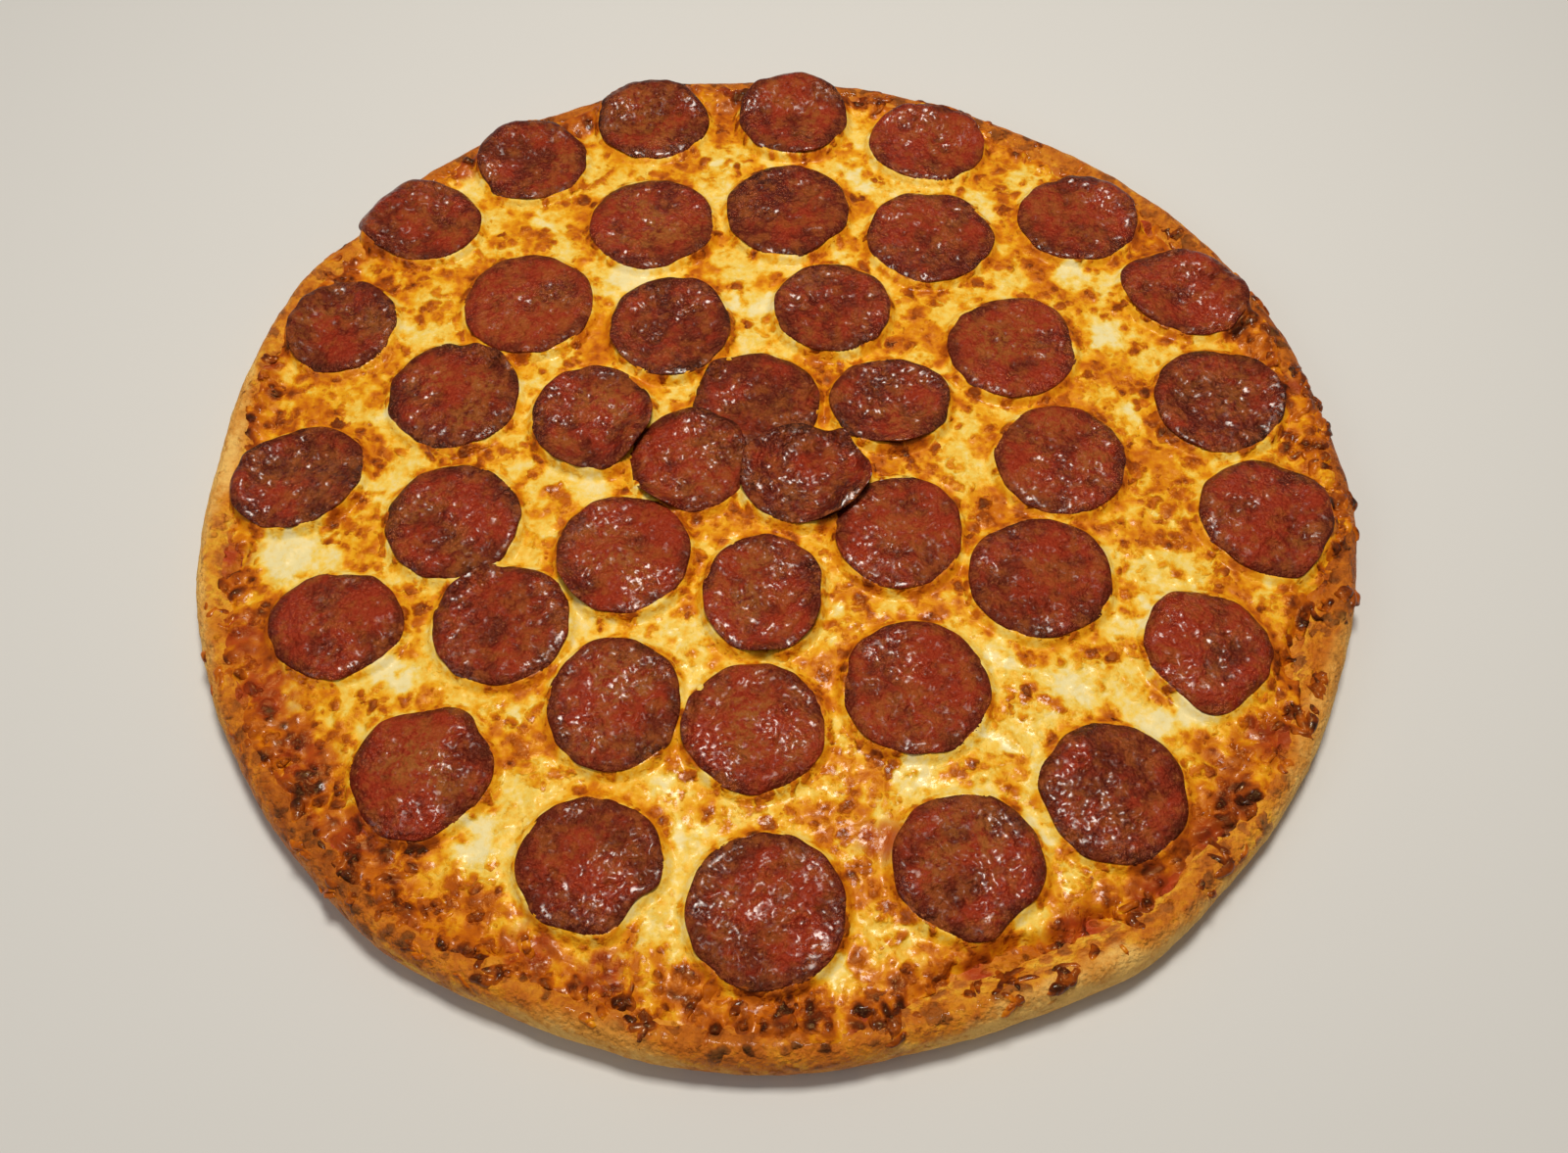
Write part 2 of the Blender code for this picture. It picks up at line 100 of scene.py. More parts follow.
# %% Read the outlines off the solids
def corners_of(node):
    """Each different corner of a node, as an array of places."""
    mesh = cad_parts[node].data
    places = np.empty(len(mesh.vertices) * 3)
    mesh.vertices.foreach_get("co", places)
    return np.unique(np.round(places.reshape(-1, 3), 6), axis=0)


def smooth_ring(x, y, waves):
    """The reach at any bearing: a constant plus that many cosines and sines, by least squares."""
    order = np.arange(1, waves + 1)

    def terms(bearing):
        turns = np.outer(bearing, order)
        return np.hstack([np.ones((len(bearing), 1)), np.cos(turns), np.sin(turns)])

    weights = np.linalg.lstsq(terms(np.arctan2(y, x)), np.hypot(x, y), rcond=None)[0]
    bearings = np.linspace(0, TURN, 1441)
    reaches = terms(bearings) @ weights
    return lambda bearing: np.interp(bearing % TURN, bearings, reaches)


def outermost(places, bins):
    """The farthest corner in each of so many equal slices of the circle."""
    reach = np.hypot(places[:, 0], places[:, 1])
    piece = np.round(np.arctan2(places[:, 1], places[:, 0]) / TURN * bins).astype(int) % bins
    order = np.lexsort((reach, piece))
    last = np.append(np.diff(piece[order]) != 0, True)
    return places[order[last]]


RIM_WAIST = 6.0 * MM
RIM_WAVES, EDGE_WAVES, EDGE_BINS = 26, 24, 64
crust_corners = corners_of("crust")
waist = crust_corners[np.abs(crust_corners[:, 2] - RIM_WAIST) < 0.02 * MM]
rim_reach = smooth_ring(waist[:, 0], waist[:, 1], RIM_WAVES)
cheese_reach, sauce_reach = (
    smooth_ring(*outermost(corners_of(node), EDGE_BINS)[:, :2].T, EDGE_WAVES)
    for node in ("cheese", "sauce")
)
print("rim across:", round(float(rim_reach(np.zeros(1))[0] + rim_reach(np.full(1, math.pi))[0]), 4))

# %% [markdown]
# In section the dough is a flat sheet with a rounded rim. Seen as height against the distance in
# from the edge, it climbs a quarter of an ellipse to the crown and falls in a soft step to the bed.
# The same profile carries the sauce and the cheese, so it is one function that they all use.

# %% The crust's profile
CROWN_INSET, SLOPE_INSET, FOOT_INSET = 5.5 * MM, 18.0 * MM, 7.0 * MM
RIM_HEIGHT, BED_HEIGHT = 14.0 * MM, 7.6 * MM
SAUCE_TOP = 1.2 * MM
# Where the rim puffed up or sank: bearing in degrees, height in mm, spread in degrees.
RIM_SWELLS = (
    (20, 0.9, 14), (58, -0.8, 10), (100, 0.7, 14), (140, -0.6, 9), (170, 0.8, 12), (205, -0.7, 12),
    (240, 0.6, 9), (268, -0.5, 8), (296, 1.1, 12), (320, -0.6, 7), (338, 1.2, 10),
)


def round_the_rim(bearing, bumps):
    """The sum of bell curves round the circle, each with its bearing, height and spread."""
    total = np.zeros_like(bearing)
    for at, push, spread in bumps:
        apart = (np.degrees(bearing) - at + 180) % 360 - 180
        total += push * np.exp(-((apart / spread) ** 2))
    return total


def crust_height(bearing, inset):
    """Quarter ellipse from the waist to the crown, then a smooth step down to the bed."""
    crown = RIM_HEIGHT + MM * round_the_rim(bearing, RIM_SWELLS)
    climb = 1 - np.clip(inset / CROWN_INSET, 0, 1)
    rise = RIM_WAIST + (crown - RIM_WAIST) * np.sqrt(1 - climb * climb)
    fall = crown + (BED_HEIGHT - crown) * smooth_step(CROWN_INSET, SLOPE_INSET, inset)
    return np.where(inset < CROWN_INSET, rise, fall)


print("crown from", *(round(float(f(crust_height(np.linspace(0, TURN, 360), CROWN_INSET))), 4)
                      for f in (np.min, np.max)))

# %% [markdown]
# A slice of pepperoni is a thin disc that sagged onto hot cheese while its edge curled up. Its
# solid has a few dozen facets. A smooth side needs a height at every place between them, and the
# formula for it is that of a thin plate bent through scattered readings.

# %% A bent plate
class Plate:
    """A thin plate over scattered heights: a plane plus r^2 log r round each reading."""

    def __init__(self, x, y, z, softness=1e-3):
        self.scale = 0.02
        self.knots = np.column_stack([x, y]) / self.scale
        count = len(x)
        plane = np.column_stack([np.ones(count), self.knots])
        bend = self.bends(self.knots) + softness * np.eye(count)
        system = np.block([[bend, plane], [plane.T, np.zeros((3, 3))]])
        self.weights = np.linalg.solve(system, np.append(z, [0, 0, 0]))

    def bends(self, spots):
        """r^2 log r^2 from each spot to each reading."""
        gap = ((spots[:, None] - self.knots[None]) ** 2).sum(-1)
        return gap * np.log(gap + 1e-12)

    def __call__(self, x, y):
        """The height of the plate at any places."""
        spots = np.column_stack([np.ravel(x), np.ravel(y)]) / self.scale
        count = len(self.knots)
        plane = np.column_stack([np.ones(len(spots)), spots])
        heights = self.bends(spots) @ self.weights[:count] + plane @ self.weights[count:]
        return heights.reshape(np.shape(x))


print("helper for slices:", Plate.__name__)

# %% [markdown]
# Rays give the readings. One cast straight down meets the top of a slice, and one cast straight up
# meets its underside. Each slice is read at five rings of places and at its own wall, so the two
# plates keep its own sag and curl.

# %% Read the slices
SAME_PLACE, CLEAR_OF_MIDDLE = 0.03 * MM, 5 * MM


def read_side(tree, spots, start, down):
    """Heights where rays straight down, or up, first meet the solid, and nan where they miss."""
    way = Vector((0, 0, -1 if down else 1))
    hits = [tree.ray_cast(Vector((x, y, start)), way)[0] for x, y in spots]
    return np.array([np.nan if hit is None else hit.z for hit in hits])


def read_slice(node):
    """A slice's centre, outline, and the smooth plates of its two sides."""
    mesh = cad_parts[node].data
    tree = BVHTree.FromPolygons([v.co for v in mesh.vertices], [p.vertices for p in mesh.polygons])
    corners = corners_of(node)
    flat, count = np.unique(np.round(corners[:, :2], 5), axis=0, return_counts=True)
    walls = flat[count == 2]
    middle = walls[np.argmin(np.hypot(*(walls - walls.mean(0)).T))]
    ring = walls[np.hypot(*(walls - middle).T) > CLEAR_OF_MIDDLE]
    outline = smooth_ring(*(ring - middle).T, 7)
    around = np.linspace(0, TURN, 16, endpoint=False) + 0.1
    direction, share = np.meshgrid(around, (0.2, 0.4, 0.6, 0.8, 0.93))
    away = share * outline(direction)
    spots = middle + np.column_stack([(away * f(direction)).ravel() for f in (np.cos, np.sin)])
    sides = []
    for down in (True, False):
        pick = max if down else min
        edge = [pick(c[2] for c in corners if np.hypot(*(c[:2] - spot)) < SAME_PLACE)
                for spot in ring]
        height = read_side(tree, spots, 1.0 if down else -1.0, down)
        seen = ~np.isnan(height)
        places = np.vstack([spots[seen], ring])
        sides.append(Plate(*places.T, np.append(height[seen], edge)))
    return {"name": node, "middle": middle, "outline": outline, "top": sides[0], "under": sides[1]}


slices = [read_slice(name) for name in sorted(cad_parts) if name.startswith("pepperoni")]
print("slices:", len(slices), "mean reach:",
      round(float(np.mean([s["outline"](np.linspace(0, 6, 50)).mean() for s in slices])), 4))

# %% [markdown]
# Cheese, browning and oil all depend on what lies near: the rim, the slices, the other shreds. The
# simplest way to work that out is a set of maps, as a cartographer would draw: square arrays that
# look straight down on the pizza, one cell every half millimetre. Pieces then look up the maps at
# their own points.

# %% Maps of the pizza
STEP, HALF = 0.5 * MM, 186 * MM
WIDEST_SLICE = 26 * MM
axis = np.arange(-HALF, HALF + STEP / 2, STEP)
EAST, NORTH = np.meshgrid(axis, axis)
BEARING, REACH = np.arctan2(NORTH, EAST), np.hypot(EAST, NORTH)
INSET = rim_reach(BEARING.ravel()).reshape(BEARING.shape) - REACH


def look_up(chart, x, y):
    """The value of a map at any place, as a weighted mean of the four cells around it."""
    u = np.clip((x + HALF) / STEP, 0, len(axis) - 1.001)
    v = np.clip((y + HALF) / STEP, 0, len(axis) - 1.001)
    i, j = u.astype(int), v.astype(int)
    s, t = u - i, v - j
    low = chart[j, i] * (1 - s) + chart[j, i + 1] * s
    high = chart[j + 1, i] * (1 - s) + chart[j + 1, i + 1] * s
    return low * (1 - t) + high * t


def blur(chart, width):
    """A map smeared by a bell curve of that width, worked out on its waves."""
    waves = np.fft.fftfreq(len(axis), STEP)
    bell = np.exp(-2 * (math.pi * width) ** 2 * (waves[:, None] ** 2 + waves[None, :] ** 2))
    return np.fft.ifft2(np.fft.fft2(chart) * bell).real


def spots_map(spots, softness=0.45, seed=5):
    """A map of ragged round patches, each (x, y, radius) in mm: 1 inside and 0 outside."""
    ragged = 0.35 + 1.2 * clouds(EAST, NORTH, 5 * MM, seed, 3)
    chart = np.zeros_like(EAST)
    for x, y, radius in spots:
        away = np.hypot(EAST - x * MM, NORTH - y * MM) / (radius * MM * ragged)
        chart = np.maximum(chart, 1 - smooth_step(1 - softness, 1 + softness, away))
    return chart


print("map:", EAST.shape, "cells of", STEP / MM, "mm")

# %% [markdown]
# The slices are drawn on the maps first, because the cheese has to know about them. A slice covers
# only a small block of cells, so the work is done in that block. Where two slices lie near a cell,
# the nearer one counts, and under a stack the lowest underside does.

# %% Draw the slices on the maps
# For each cell: the share of the way to the edge of the nearest slice, how far outside that edge
# the cell lies, the height of the slice's underside there, and the lowest underside above the cell.
cover = np.full(EAST.shape, 9.0)
outside = np.full(EAST.shape, 1.0)
held = np.zeros(EAST.shape)
lid = np.full(EAST.shape, np.inf)
for piece in slices:
    x0, y0 = piece["middle"]
    rows = np.abs(axis - y0) < WIDEST_SLICE
    columns = np.abs(axis - x0) < WIDEST_SLICE
    block = np.ix_(rows, columns)
    dx, dy = EAST[block] - x0, NORTH[block] - y0
    outline = piece["outline"](np.arctan2(dy, dx).ravel()).reshape(dx.shape)
    share = np.hypot(dx, dy) / outline
    within = np.minimum(1, 1 / np.maximum(share, 1e-6))
    under = piece["under"](x0 + dx * within, y0 + dy * within)
    nearer = share < cover[block]
    for chart, values in ((cover, share), (outside, (share - 1) * outline), (held, under)):
        chart[block] = np.where(nearer, values, chart[block])
    lid[block] = np.minimum(lid[block], np.where(share < 1, under, np.inf))
print("share covered by slices:", round(float((cover < 1).sum() / (INSET > 0).sum()), 2))

# %% [markdown]
# The cheese went on as short shreds, and melted into a skin that still shows them: low, bent,
# overlapping lumps whose tops caught the heat first. So the relief and the browning come from the
# same thing. Some thousands of shreds are stamped onto the maps, each as a soft bent bar that keeps
# the highest value. Where a bubble burst, the stamp is a ring with a pale middle.

# %% Stamp the melted shreds
def stamp(places, length, width, turn, bend, strength, hollow, half_window=7 * MM):
    """The highest of many soft bars, each exp(-|u/a|^3 - |v/b|^2.5) times its strength.

    Each bar is bent by taking bend u^2 from v. Where hollow is above 0, that share of the
    middle is taken out again, as in a burst bubble.
    """
    cells = int(half_window / STEP)
    i = np.round((places[:, 0] + HALF) / STEP).astype(int)[:, None, None]
    j = np.round((places[:, 1] + HALF) / STEP).astype(int)[:, None, None]
    di, dj = np.meshgrid(np.arange(-cells, cells + 1), np.arange(-cells, cells + 1))
    i, j = i + di, j + dj
    inside = (i >= 0) & (j >= 0) & (i < len(axis)) & (j < len(axis))
    i, j = np.clip(i, 0, len(axis) - 1), np.clip(j, 0, len(axis) - 1)

    def each(values):
        return np.broadcast_to(values, len(places))[:, None, None]

    dx, dy = axis[i] - each(places[:, 0]), axis[j] - each(places[:, 1])
    cosine, sine = each(np.cos(turn)), each(np.sin(turn))
    u = dx * cosine + dy * sine
    v = dy * cosine - dx * sine - each(bend) * u * u
    bar = np.exp(-np.abs(2 * u / each(length)) ** 3 - np.abs(2 * v / each(width)) ** 2.5)
    bar *= each(strength) * (1 - each(hollow) * np.exp(-(u * u + v * v) / (0.3 * each(width)) ** 2))
    chart = np.zeros_like(EAST)
    np.maximum.at(chart, (j, i), np.where(inside, bar, 0))
    return chart


def warp(chart, amount, size, seed):
    """A map pulled about by noise, so that no stamp keeps a perfect outline."""
    push_x = amount * (2 * clouds(EAST, NORTH, size, seed, 2) - 1)
    push_y = amount * (2 * clouds(EAST, NORTH, size, seed + 1, 2) - 1)
    return look_up(chart, EAST + push_x, NORTH + push_y)


def scatter(count, seed, reach=176 * MM):
    """Random places, spread evenly over a disc: any bearing, and a reach like a square root."""
    draw = np.random.default_rng(seed)
    bearing, away = TURN * draw.random(count), reach * np.sqrt(draw.random(count))
    return np.column_stack([away * np.cos(bearing), away * np.sin(bearing)]), draw


print("helpers for maps:", [helper.__name__ for helper in (stamp, warp, scatter)])

# %% [markdown]
# The shreds lie anywhere and any way round, a few millimetres long. The same shreds are stamped
# twice, once for how high they stand and once for how brown they are, because a high one isn't
# always a brown one. Smaller specks, the crumbs of the grated cheese, go between them.

# %% Scatter the shreds
SHREDS, SPECKS = 7200, 11000
places, draw = scatter(SHREDS, 21)
count = len(places)
shred_shape = {
    "length": draw.uniform(2.4, 6.5, count) * MM,
    "width": draw.uniform(1.9, 3.6, count) * MM,
    "turn": TURN * draw.random(count),
    "bend": draw.uniform(-90, 90, count),
}
lumps = warp(stamp(places, **shred_shape, strength=draw.uniform(0.3, 1, count), hollow=0),
             0.9 * MM, 4 * MM, 31)
toasts = warp(stamp(places, **shred_shape, strength=draw.random(count) ** 1.5,
                    hollow=np.where(draw.random(count) < 0.3, 0.8, 0.0)), 0.9 * MM, 4 * MM, 31)
places, draw = scatter(SPECKS, 22)
count = len(places)
specks = stamp(places, draw.uniform(1.2, 2.8, count) * MM, draw.uniform(1.0, 1.9, count) * MM,
               TURN * draw.random(count), 0, draw.random(count) ** 1.3,
               np.where(draw.random(count) < 0.25, 0.9, 0.0), 3 * MM)
print("mean lump:", round(float(lumps[INSET > 0].mean()), 2),
      "mean toast:", round(float(toasts[INSET > 0].mean()), 2))

# %% [markdown]
# How brown the cheese gets is not the same everywhere. The border lay thin on the hot rim and went
# deep orange. Some pools stayed white and creamy, and in some places the sauce shows through. Those
# larger areas are a short list of patches, as a cook might point them out, and the border's colour
# follows the distance from the edge.

# %% Where the cheese is creamy, brown or bare
# Places that stayed creamy, that baked amber, and where the sauce shows: x, y and radius in mm.
CREAM_POOLS = (
    (-150, -26, 8), (61, -92, 7), (38, -98, 6), (-50, 85, 6), (-57, 72, 5), (105, 58, 7),
    (112, -46, 6), (-10, 72, 7), (120, -80, 6), (70, -118, 7), (16, -156, 7), (-30, -103, 7),
    (-85, -118, 7), (108, -84, 5), (-113, -68, 7), (115, 30, 6), (-72, -77, 6), (20, -50, 7),
    (-115, 75, 7), (65, -62, 5), (-20, 135, 6), (28, 128, 6), (62, -140, 5), (-80, 110, 6),
    (22, 92, 6), (-125, 28, 6), (115, -8, 6), (-25, -115, 6), (85, -75, 6), (100, 85, 6),
)
AMBER_POOLS = (
    (82, -52, 13), (30, -89, 9), (12, -68, 8), (26, -24, 8), (135, -15, 8), (104, -4, 8),
    (-80, -66, 8), (-28, -89, 9), (-28, -34, 7), (-37, -113, 8), (-110, -47, 7), (-110, 77, 9),
    (-143, 42, 8), (-70, 26, 8), (-56, 142, 8), (-75, 112, 8), (46, 80, 9), (88, 104, 9),
    (100, 75, 8), (108, 44, 9), (62, 32, 8),
)
BARE_PATCHES = (
    (-20, 172, 6), (-112, 133, 7), (-168, 45, 6), (-168, -28, 7), (-150, -74, 10), (-117, -117, 8),
    (-66, -148, 7), (-47, -156, 6), (28, -118, 6), (82, -143, 7), (102, -134, 8), (140, -88, 8),
    (-160, -55, 7), (-95, 152, 6), (-135, -95, 8), (120, -118, 6),
)
# Where the border browned farther in or less: bearing in degrees, mm, spread in degrees.
BORDER_WIDTHS = ((350, 9, 22), (25, 5, 16), (222, 10, 22), (262, 12, 20), (300, 3, 14),
                 (320, 9, 14), (60, -4, 20), (130, -4, 20), (170, -5, 18), (95, 2, 12))
print("pools:", len(CREAM_POOLS), len(AMBER_POOLS), "bare patches:", len(BARE_PATCHES))

# %% [markdown]
# The heat that each spot got is one sum of maps: a base, broad clouds, the border, the blotches,
# and the shreds that stood up into the heat, less the pools that stayed creamy. A sum is easy to
# tune, because each term can be turned up or down alone.

# %% The map of heat
creamy = spots_map(CREAM_POOLS, seed=51)
torn = smooth_step(0.2, 0.5, clouds(EAST, NORTH, 3.5 * MM, 59, 3))
bare = spots_map(BARE_PATCHES, seed=52) * torn
soaked = smooth_step(0.50, 0.66, clouds(EAST, NORTH, 7 * MM, 66, 3))
border_width = MM * (26 + round_the_rim(BEARING, BORDER_WIDTHS))
frayed = INSET / border_width + 0.5 * sway(EAST, NORTH, 11 * MM, 53, 3)
border = 1 - smooth_step(0.25, 1.0, frayed)
bare = np.maximum(bare, 0.55 * border * soaked)
broad = clouds(EAST, NORTH, 24 * MM, 54, 2)
coarse, finer = clouds(EAST, NORTH, 9 * MM, 55, 2), clouds(EAST, NORTH, 2.6 * MM, 58, 2)
blotches = smooth_step(0.44, 0.60, 0.75 * coarse + 0.25 * finer)
blotches = np.maximum(blotches, 0.85 * spots_map(AMBER_POOLS, 0.6, seed=67))
browner = np.maximum(blotches, border)
heat = (
    0.125
    + 0.18 * (broad - 0.5)
    + 0.19 * border
    + 0.19 * blotches
    + (0.26 + 0.24 * border) * toasts * (0.45 + 0.55 * browner)
    + 0.12 * specks * (0.25 + 0.75 * browner)
    + 0.09 * sway(EAST, NORTH, 2.2 * MM, 56, 3)
    - 0.16 * creamy
)
heat = np.clip(heat, 0, 1)
print("mean heat inside:", round(float(heat[INSET > 40 * MM].mean()), 2),
      "at the border:", round(float(heat[(INSET > 4 * MM) & (INSET < 15 * MM)].mean()), 2))

# %% [markdown]
# The cheese's upper side is the crust's profile, plus the sauce, plus its own thickness, plus the
# melted shreds. Under a slice it is pressed flat. Beside a slice it climbs to the curled edge,
# because melted cheese wets what it touches. The maps already hold how far each cell lies from the
# nearest slice and how high that slice's underside is there, so the climb is one sum.

# %% The height of the cheese
spread = blur((cover < 1).astype(float), 1.3 * MM)
edge_inset = (rim_reach(BEARING.ravel()) - cheese_reach(BEARING.ravel())).reshape(BEARING.shape)
thickness = MM * (0.4 + 2.6 * smooth_step(edge_inset, SLOPE_INSET + 2 * MM, INSET))
ragged = MM * (7 * sway(EAST, NORTH, 8 * MM, 63, 3) + 3.0 * (lumps - 0.3))
laid = smooth_step(0, 6 * MM, INSET - edge_inset - 0.5 * MM + ragged)
laid = np.maximum(laid, smooth_step(0.1, 0.5, spread))
open_air = smooth_step(0.98, 1.3, cover)
relief = MM * (
    0.9 * (clouds(EAST, NORTH, 16 * MM, 61, 2) - 0.35)
    + 0.70 * lumps
    + 0.30 * specks
    + 0.25 * sway(EAST, NORTH, 2.5 * MM, 62, 2)
)
relief *= 0.25 + 0.75 * open_air
relief *= 1 - 0.2 * bare
relief += 0.5 * MM * border * (lumps - 0.3)
ground = crust_height(BEARING, INSET) - 0.5 * MM
cheese_height = ground + laid * (0.5 * MM + SAUCE_TOP + thickness + relief)
# Outside a slice the cheese climbs to its edge. Inside, it dips below the slice's underside.
MOST_CLIMB, CLIMB_WIDTH = 3.4 * MM, 3.2 * MM
grip = held + 0.45 * MM + 0.25 * (relief - 0.4 * MM)
climb = np.clip(grip - cheese_height, -0.6 * MM, MOST_CLIMB)
climb *= (1 - smooth_step(0, CLIMB_WIDTH, outside)) ** 2
pressed = np.minimum(cheese_height, lid - 0.2 * MM)
near_edge = smooth_step(0.80, 0.96, cover) * (lid > held - 0.1 * MM)
pressed += np.clip(grip - pressed, 0, MOST_CLIMB) * near_edge
cheese_height = np.where(cover < 1, pressed, cheese_height + climb)
print("cheese from", round(float(cheese_height[INSET > 20 * MM].min()), 4), "to",
      round(float(cheese_height[INSET > 20 * MM].max()), 4))

# %% [markdown]
# A mesh is a list of places and a list of triangles that join them. Blender takes both as whole
# arrays, which is far quicker than adding them one by one. Values that a finish needs at each
# point, such as how brown it is, go in beside them as attributes.

# %% Make meshes from arrays
def new_piece(name, places, triangles, material, node=None, slot=None, **masks):
    """A smooth mesh object that rides on the part, with each mask as a value at every point."""
    mesh = bpy.data.meshes.new(name)
    mesh.vertices.add(len(places))
    mesh.vertices.foreach_set("co", np.ascontiguousarray(places, np.float32).ravel())
    mesh.loops.add(triangles.size)
    mesh.loops.foreach_set("vertex_index", np.ascontiguousarray(triangles, np.int32).ravel())
    mesh.polygons.add(len(triangles))
    mesh.polygons.foreach_set("loop_start", np.arange(0, triangles.size, 3, dtype=np.int32))
    mesh.update(calc_edges=True)
    mesh.validate()
    mesh.shade_smooth()
    for mask, values in masks.items():
        layer = mesh.attributes.new(mask, "FLOAT", "POINT")
        layer.data.foreach_set("value", np.ascontiguousarray(values, np.float32))
    mesh.materials.append(material)
    piece = bpy.data.objects.new(name, mesh)
    bpy.context.scene.collection.objects.link(piece)
    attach(piece, "root")
    if node:
        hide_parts(node)
    return piece


print("helper for meshes:", new_piece.__name__)

# %% [markdown]
# Most pieces are either rings of points joined by bands, or a round skin. A polar grid wastes its
# points on the middle, so the round skin is laid in rings that each have six points more than the
# one inside. Every triangle then comes out about the same size.

# %% Discs, bands and undersides
def disc(rings):
    """A flat disc of equal triangles: ring k has 6k points. Gives share, bearing and triangles."""
    ring = np.repeat(np.arange(1, rings + 1), 6 * np.arange(1, rings + 1))
    first = 1 + 3 * ring * (ring - 1)
    step = np.arange(len(ring)) + 1 - first
    share = np.append(0, ring / rings)
    bearing = np.append(0, TURN * step / (6 * ring))
    sector, along = step // ring, step % ring
    inner_count = np.maximum(6 * (ring - 1), 1)
    inner_first = np.where(ring == 1, 0, first - 6 * (ring - 1))
    inner = inner_first + (sector * (ring - 1) + along) % inner_count
    inner_next = inner_first + (sector * (ring - 1) + along + 1) % inner_count
    this, after = first + step, first + (step + 1) % (6 * ring)
    outward = np.column_stack([inner, this, after])
    inward = np.column_stack([inner, after, inner_next])[along < ring - 1]
    return share, bearing, np.vstack([outward, inward])


def bands(first, rows, count):
    """Two triangles between each point of a ring and the next ring, for rings listed outwards."""
    step = np.arange(count)
    row = first + count * np.arange(rows - 1)[:, None]
    a, b = row + step, row + (step + 1) % count
    down, across = a + count, b + count
    return np.vstack([np.stack([a, down, across], -1).reshape(-1, 3),
                      np.stack([a, across, b], -1).reshape(-1, 3)])


def close_under(top, triangles, rings, rows, pole):
    """Closes a disc's skin: rows of points from its edge down and in, and a fan onto the pole."""
    count = 6 * rings
    first = len(top) - count
    places = np.vstack([top, rows.reshape(-1, 3), pole])
    last = len(places) - 1 - count + np.arange(count)
    fan = np.column_stack([last, np.full(count, len(places) - 1), np.roll(last, -1)])
    return places, np.vstack([triangles, bands(first, len(rows) + 1, count), fan])


def sunk_rows(x, y, bearing, away, rings, shares, sink):
    """Rows at shares of a disc's edge that follow the top of the crust, at a depth of sink."""
    edge, shares = slice(len(x) - 6 * rings, None), np.array(shares)[:, None]
    level = crust_height(bearing[edge], rim_reach(bearing[edge]) - shares * away[edge]) - sink
    return np.stack([shares * x[edge], shares * y[edge], level], -1)


print("triangles in a disc of 100 rings:", len(disc(100)[2]))

# %% [markdown]
# The finishes are networks of shader nodes. Placing nodes one by one takes many lines, so a few
# helpers come first. Each adds one kind of node, joins its inputs, and hands back its result, so
# that a network can be written like a sum.

# %% Helpers for node trees
def add_node(tree, kind, inputs=(), **settings):
    """A node with its own settings, and each input given a value or joined to a socket."""
    node = tree.nodes.new(kind)
    for name, value in settings.items():
        setattr(node, name, value)
    for name, value in dict(inputs).items():
        if isinstance(value, bpy.types.NodeSocket):
            tree.links.new(value, node.inputs[name])
        else:
            node.inputs[name].default_value = value
    return node


def calc(tree, operation, *values, clamp=False):
    """One step of arithmetic. Gives the socket of its result."""
    node = add_node(tree, "ShaderNodeMath", dict(enumerate(values)), operation=operation)
    node.use_clamp = clamp
    return node.outputs[0]


def mix_colours(tree, share, this, that):
    """Two colours mixed by a share. Gives the socket of the mix."""
    node = add_node(tree, "ShaderNodeMix", {0: share, 6: this, 7: that}, data_type="RGBA")
    return node.outputs[2]


def between(tree, value, low, high):
    """A smooth step of a value from low to high, as a socket."""
    node = add_node(tree, "ShaderNodeMapRange", {0: value, 1: low, 2: high},
                    interpolation_type="SMOOTHSTEP")
    return node.outputs[0]


def noise(tree, scale, detail=3.0, roughness=0.55):
    """Noise over the piece's own place, as a socket from 0 to 1."""
    place = add_node(tree, "ShaderNodeTexCoord").outputs["Object"]
    node = add_node(tree, "ShaderNodeTexNoise",
                    {"Vector": place, "Scale": scale, "Detail": detail, "Roughness": roughness})
    return node.outputs["Fac"]


def mask(tree, name):
    """A value that a piece carries at its points."""
    return add_node(tree, "ShaderNodeAttribute", attribute_name=name).outputs["Fac"]


print("helpers for nodes:", [f.__name__ for f in (calc, mix_colours, between, noise, mask)])

# %% [markdown]
# A node group is a network with named inputs and outputs, like a function. Its sockets are made
# first, with a default for each input. It can then be placed in any finish as if it were one node.
# Colours are written as six letters, as they are elsewhere, and made linear for the shaders.

# %% Helpers for groups and colours
def new_group(name, takes, gives):
    """An empty node group with named sockets, and its two end nodes."""
    tree = bpy.data.node_groups.new(name, "ShaderNodeTree")
    for label, value in takes.items():
        kind = "NodeSocketFloat" if isinstance(value, float) else "NodeSocketColor"
        tree.interface.new_socket(label, in_out="INPUT", socket_type=kind).default_value = value
    for label, kind in gives.items():
        tree.interface.new_socket(label, in_out="OUTPUT", socket_type=kind)
    return tree, tree.nodes.new("NodeGroupInput"), tree.nodes.new("NodeGroupOutput")


def use_group(tree, group, **inputs):
    """A group placed in a tree. Underscores in the names stand for spaces."""
    named = {name.replace("_", " "): value for name, value in inputs.items()}
    return add_node(tree, "ShaderNodeGroup", named, node_tree=group)


def rgb(text):
    """A colour from its six usual letters, made linear as shaders want it."""
    parts = [int(text[k : k + 2], 16) / 255 for k in (0, 2, 4)]
    return (*(p / 12.92 if p <= 0.04045 else ((p + 0.055) / 1.055) ** 2.4 for p in parts), 1.0)


print("a golden yellow:", tuple(round(v, 3) for v in rgb("f5c030")))

# %% [markdown]
# The finishes share a few effects, so each effect is a node group that is built once. Browning
# turns an amount from 0 to 1 into a colour from fresh through golden to burnt, and breaks up its
# edges with fine noise, because real browning is ragged far below a millimetre.

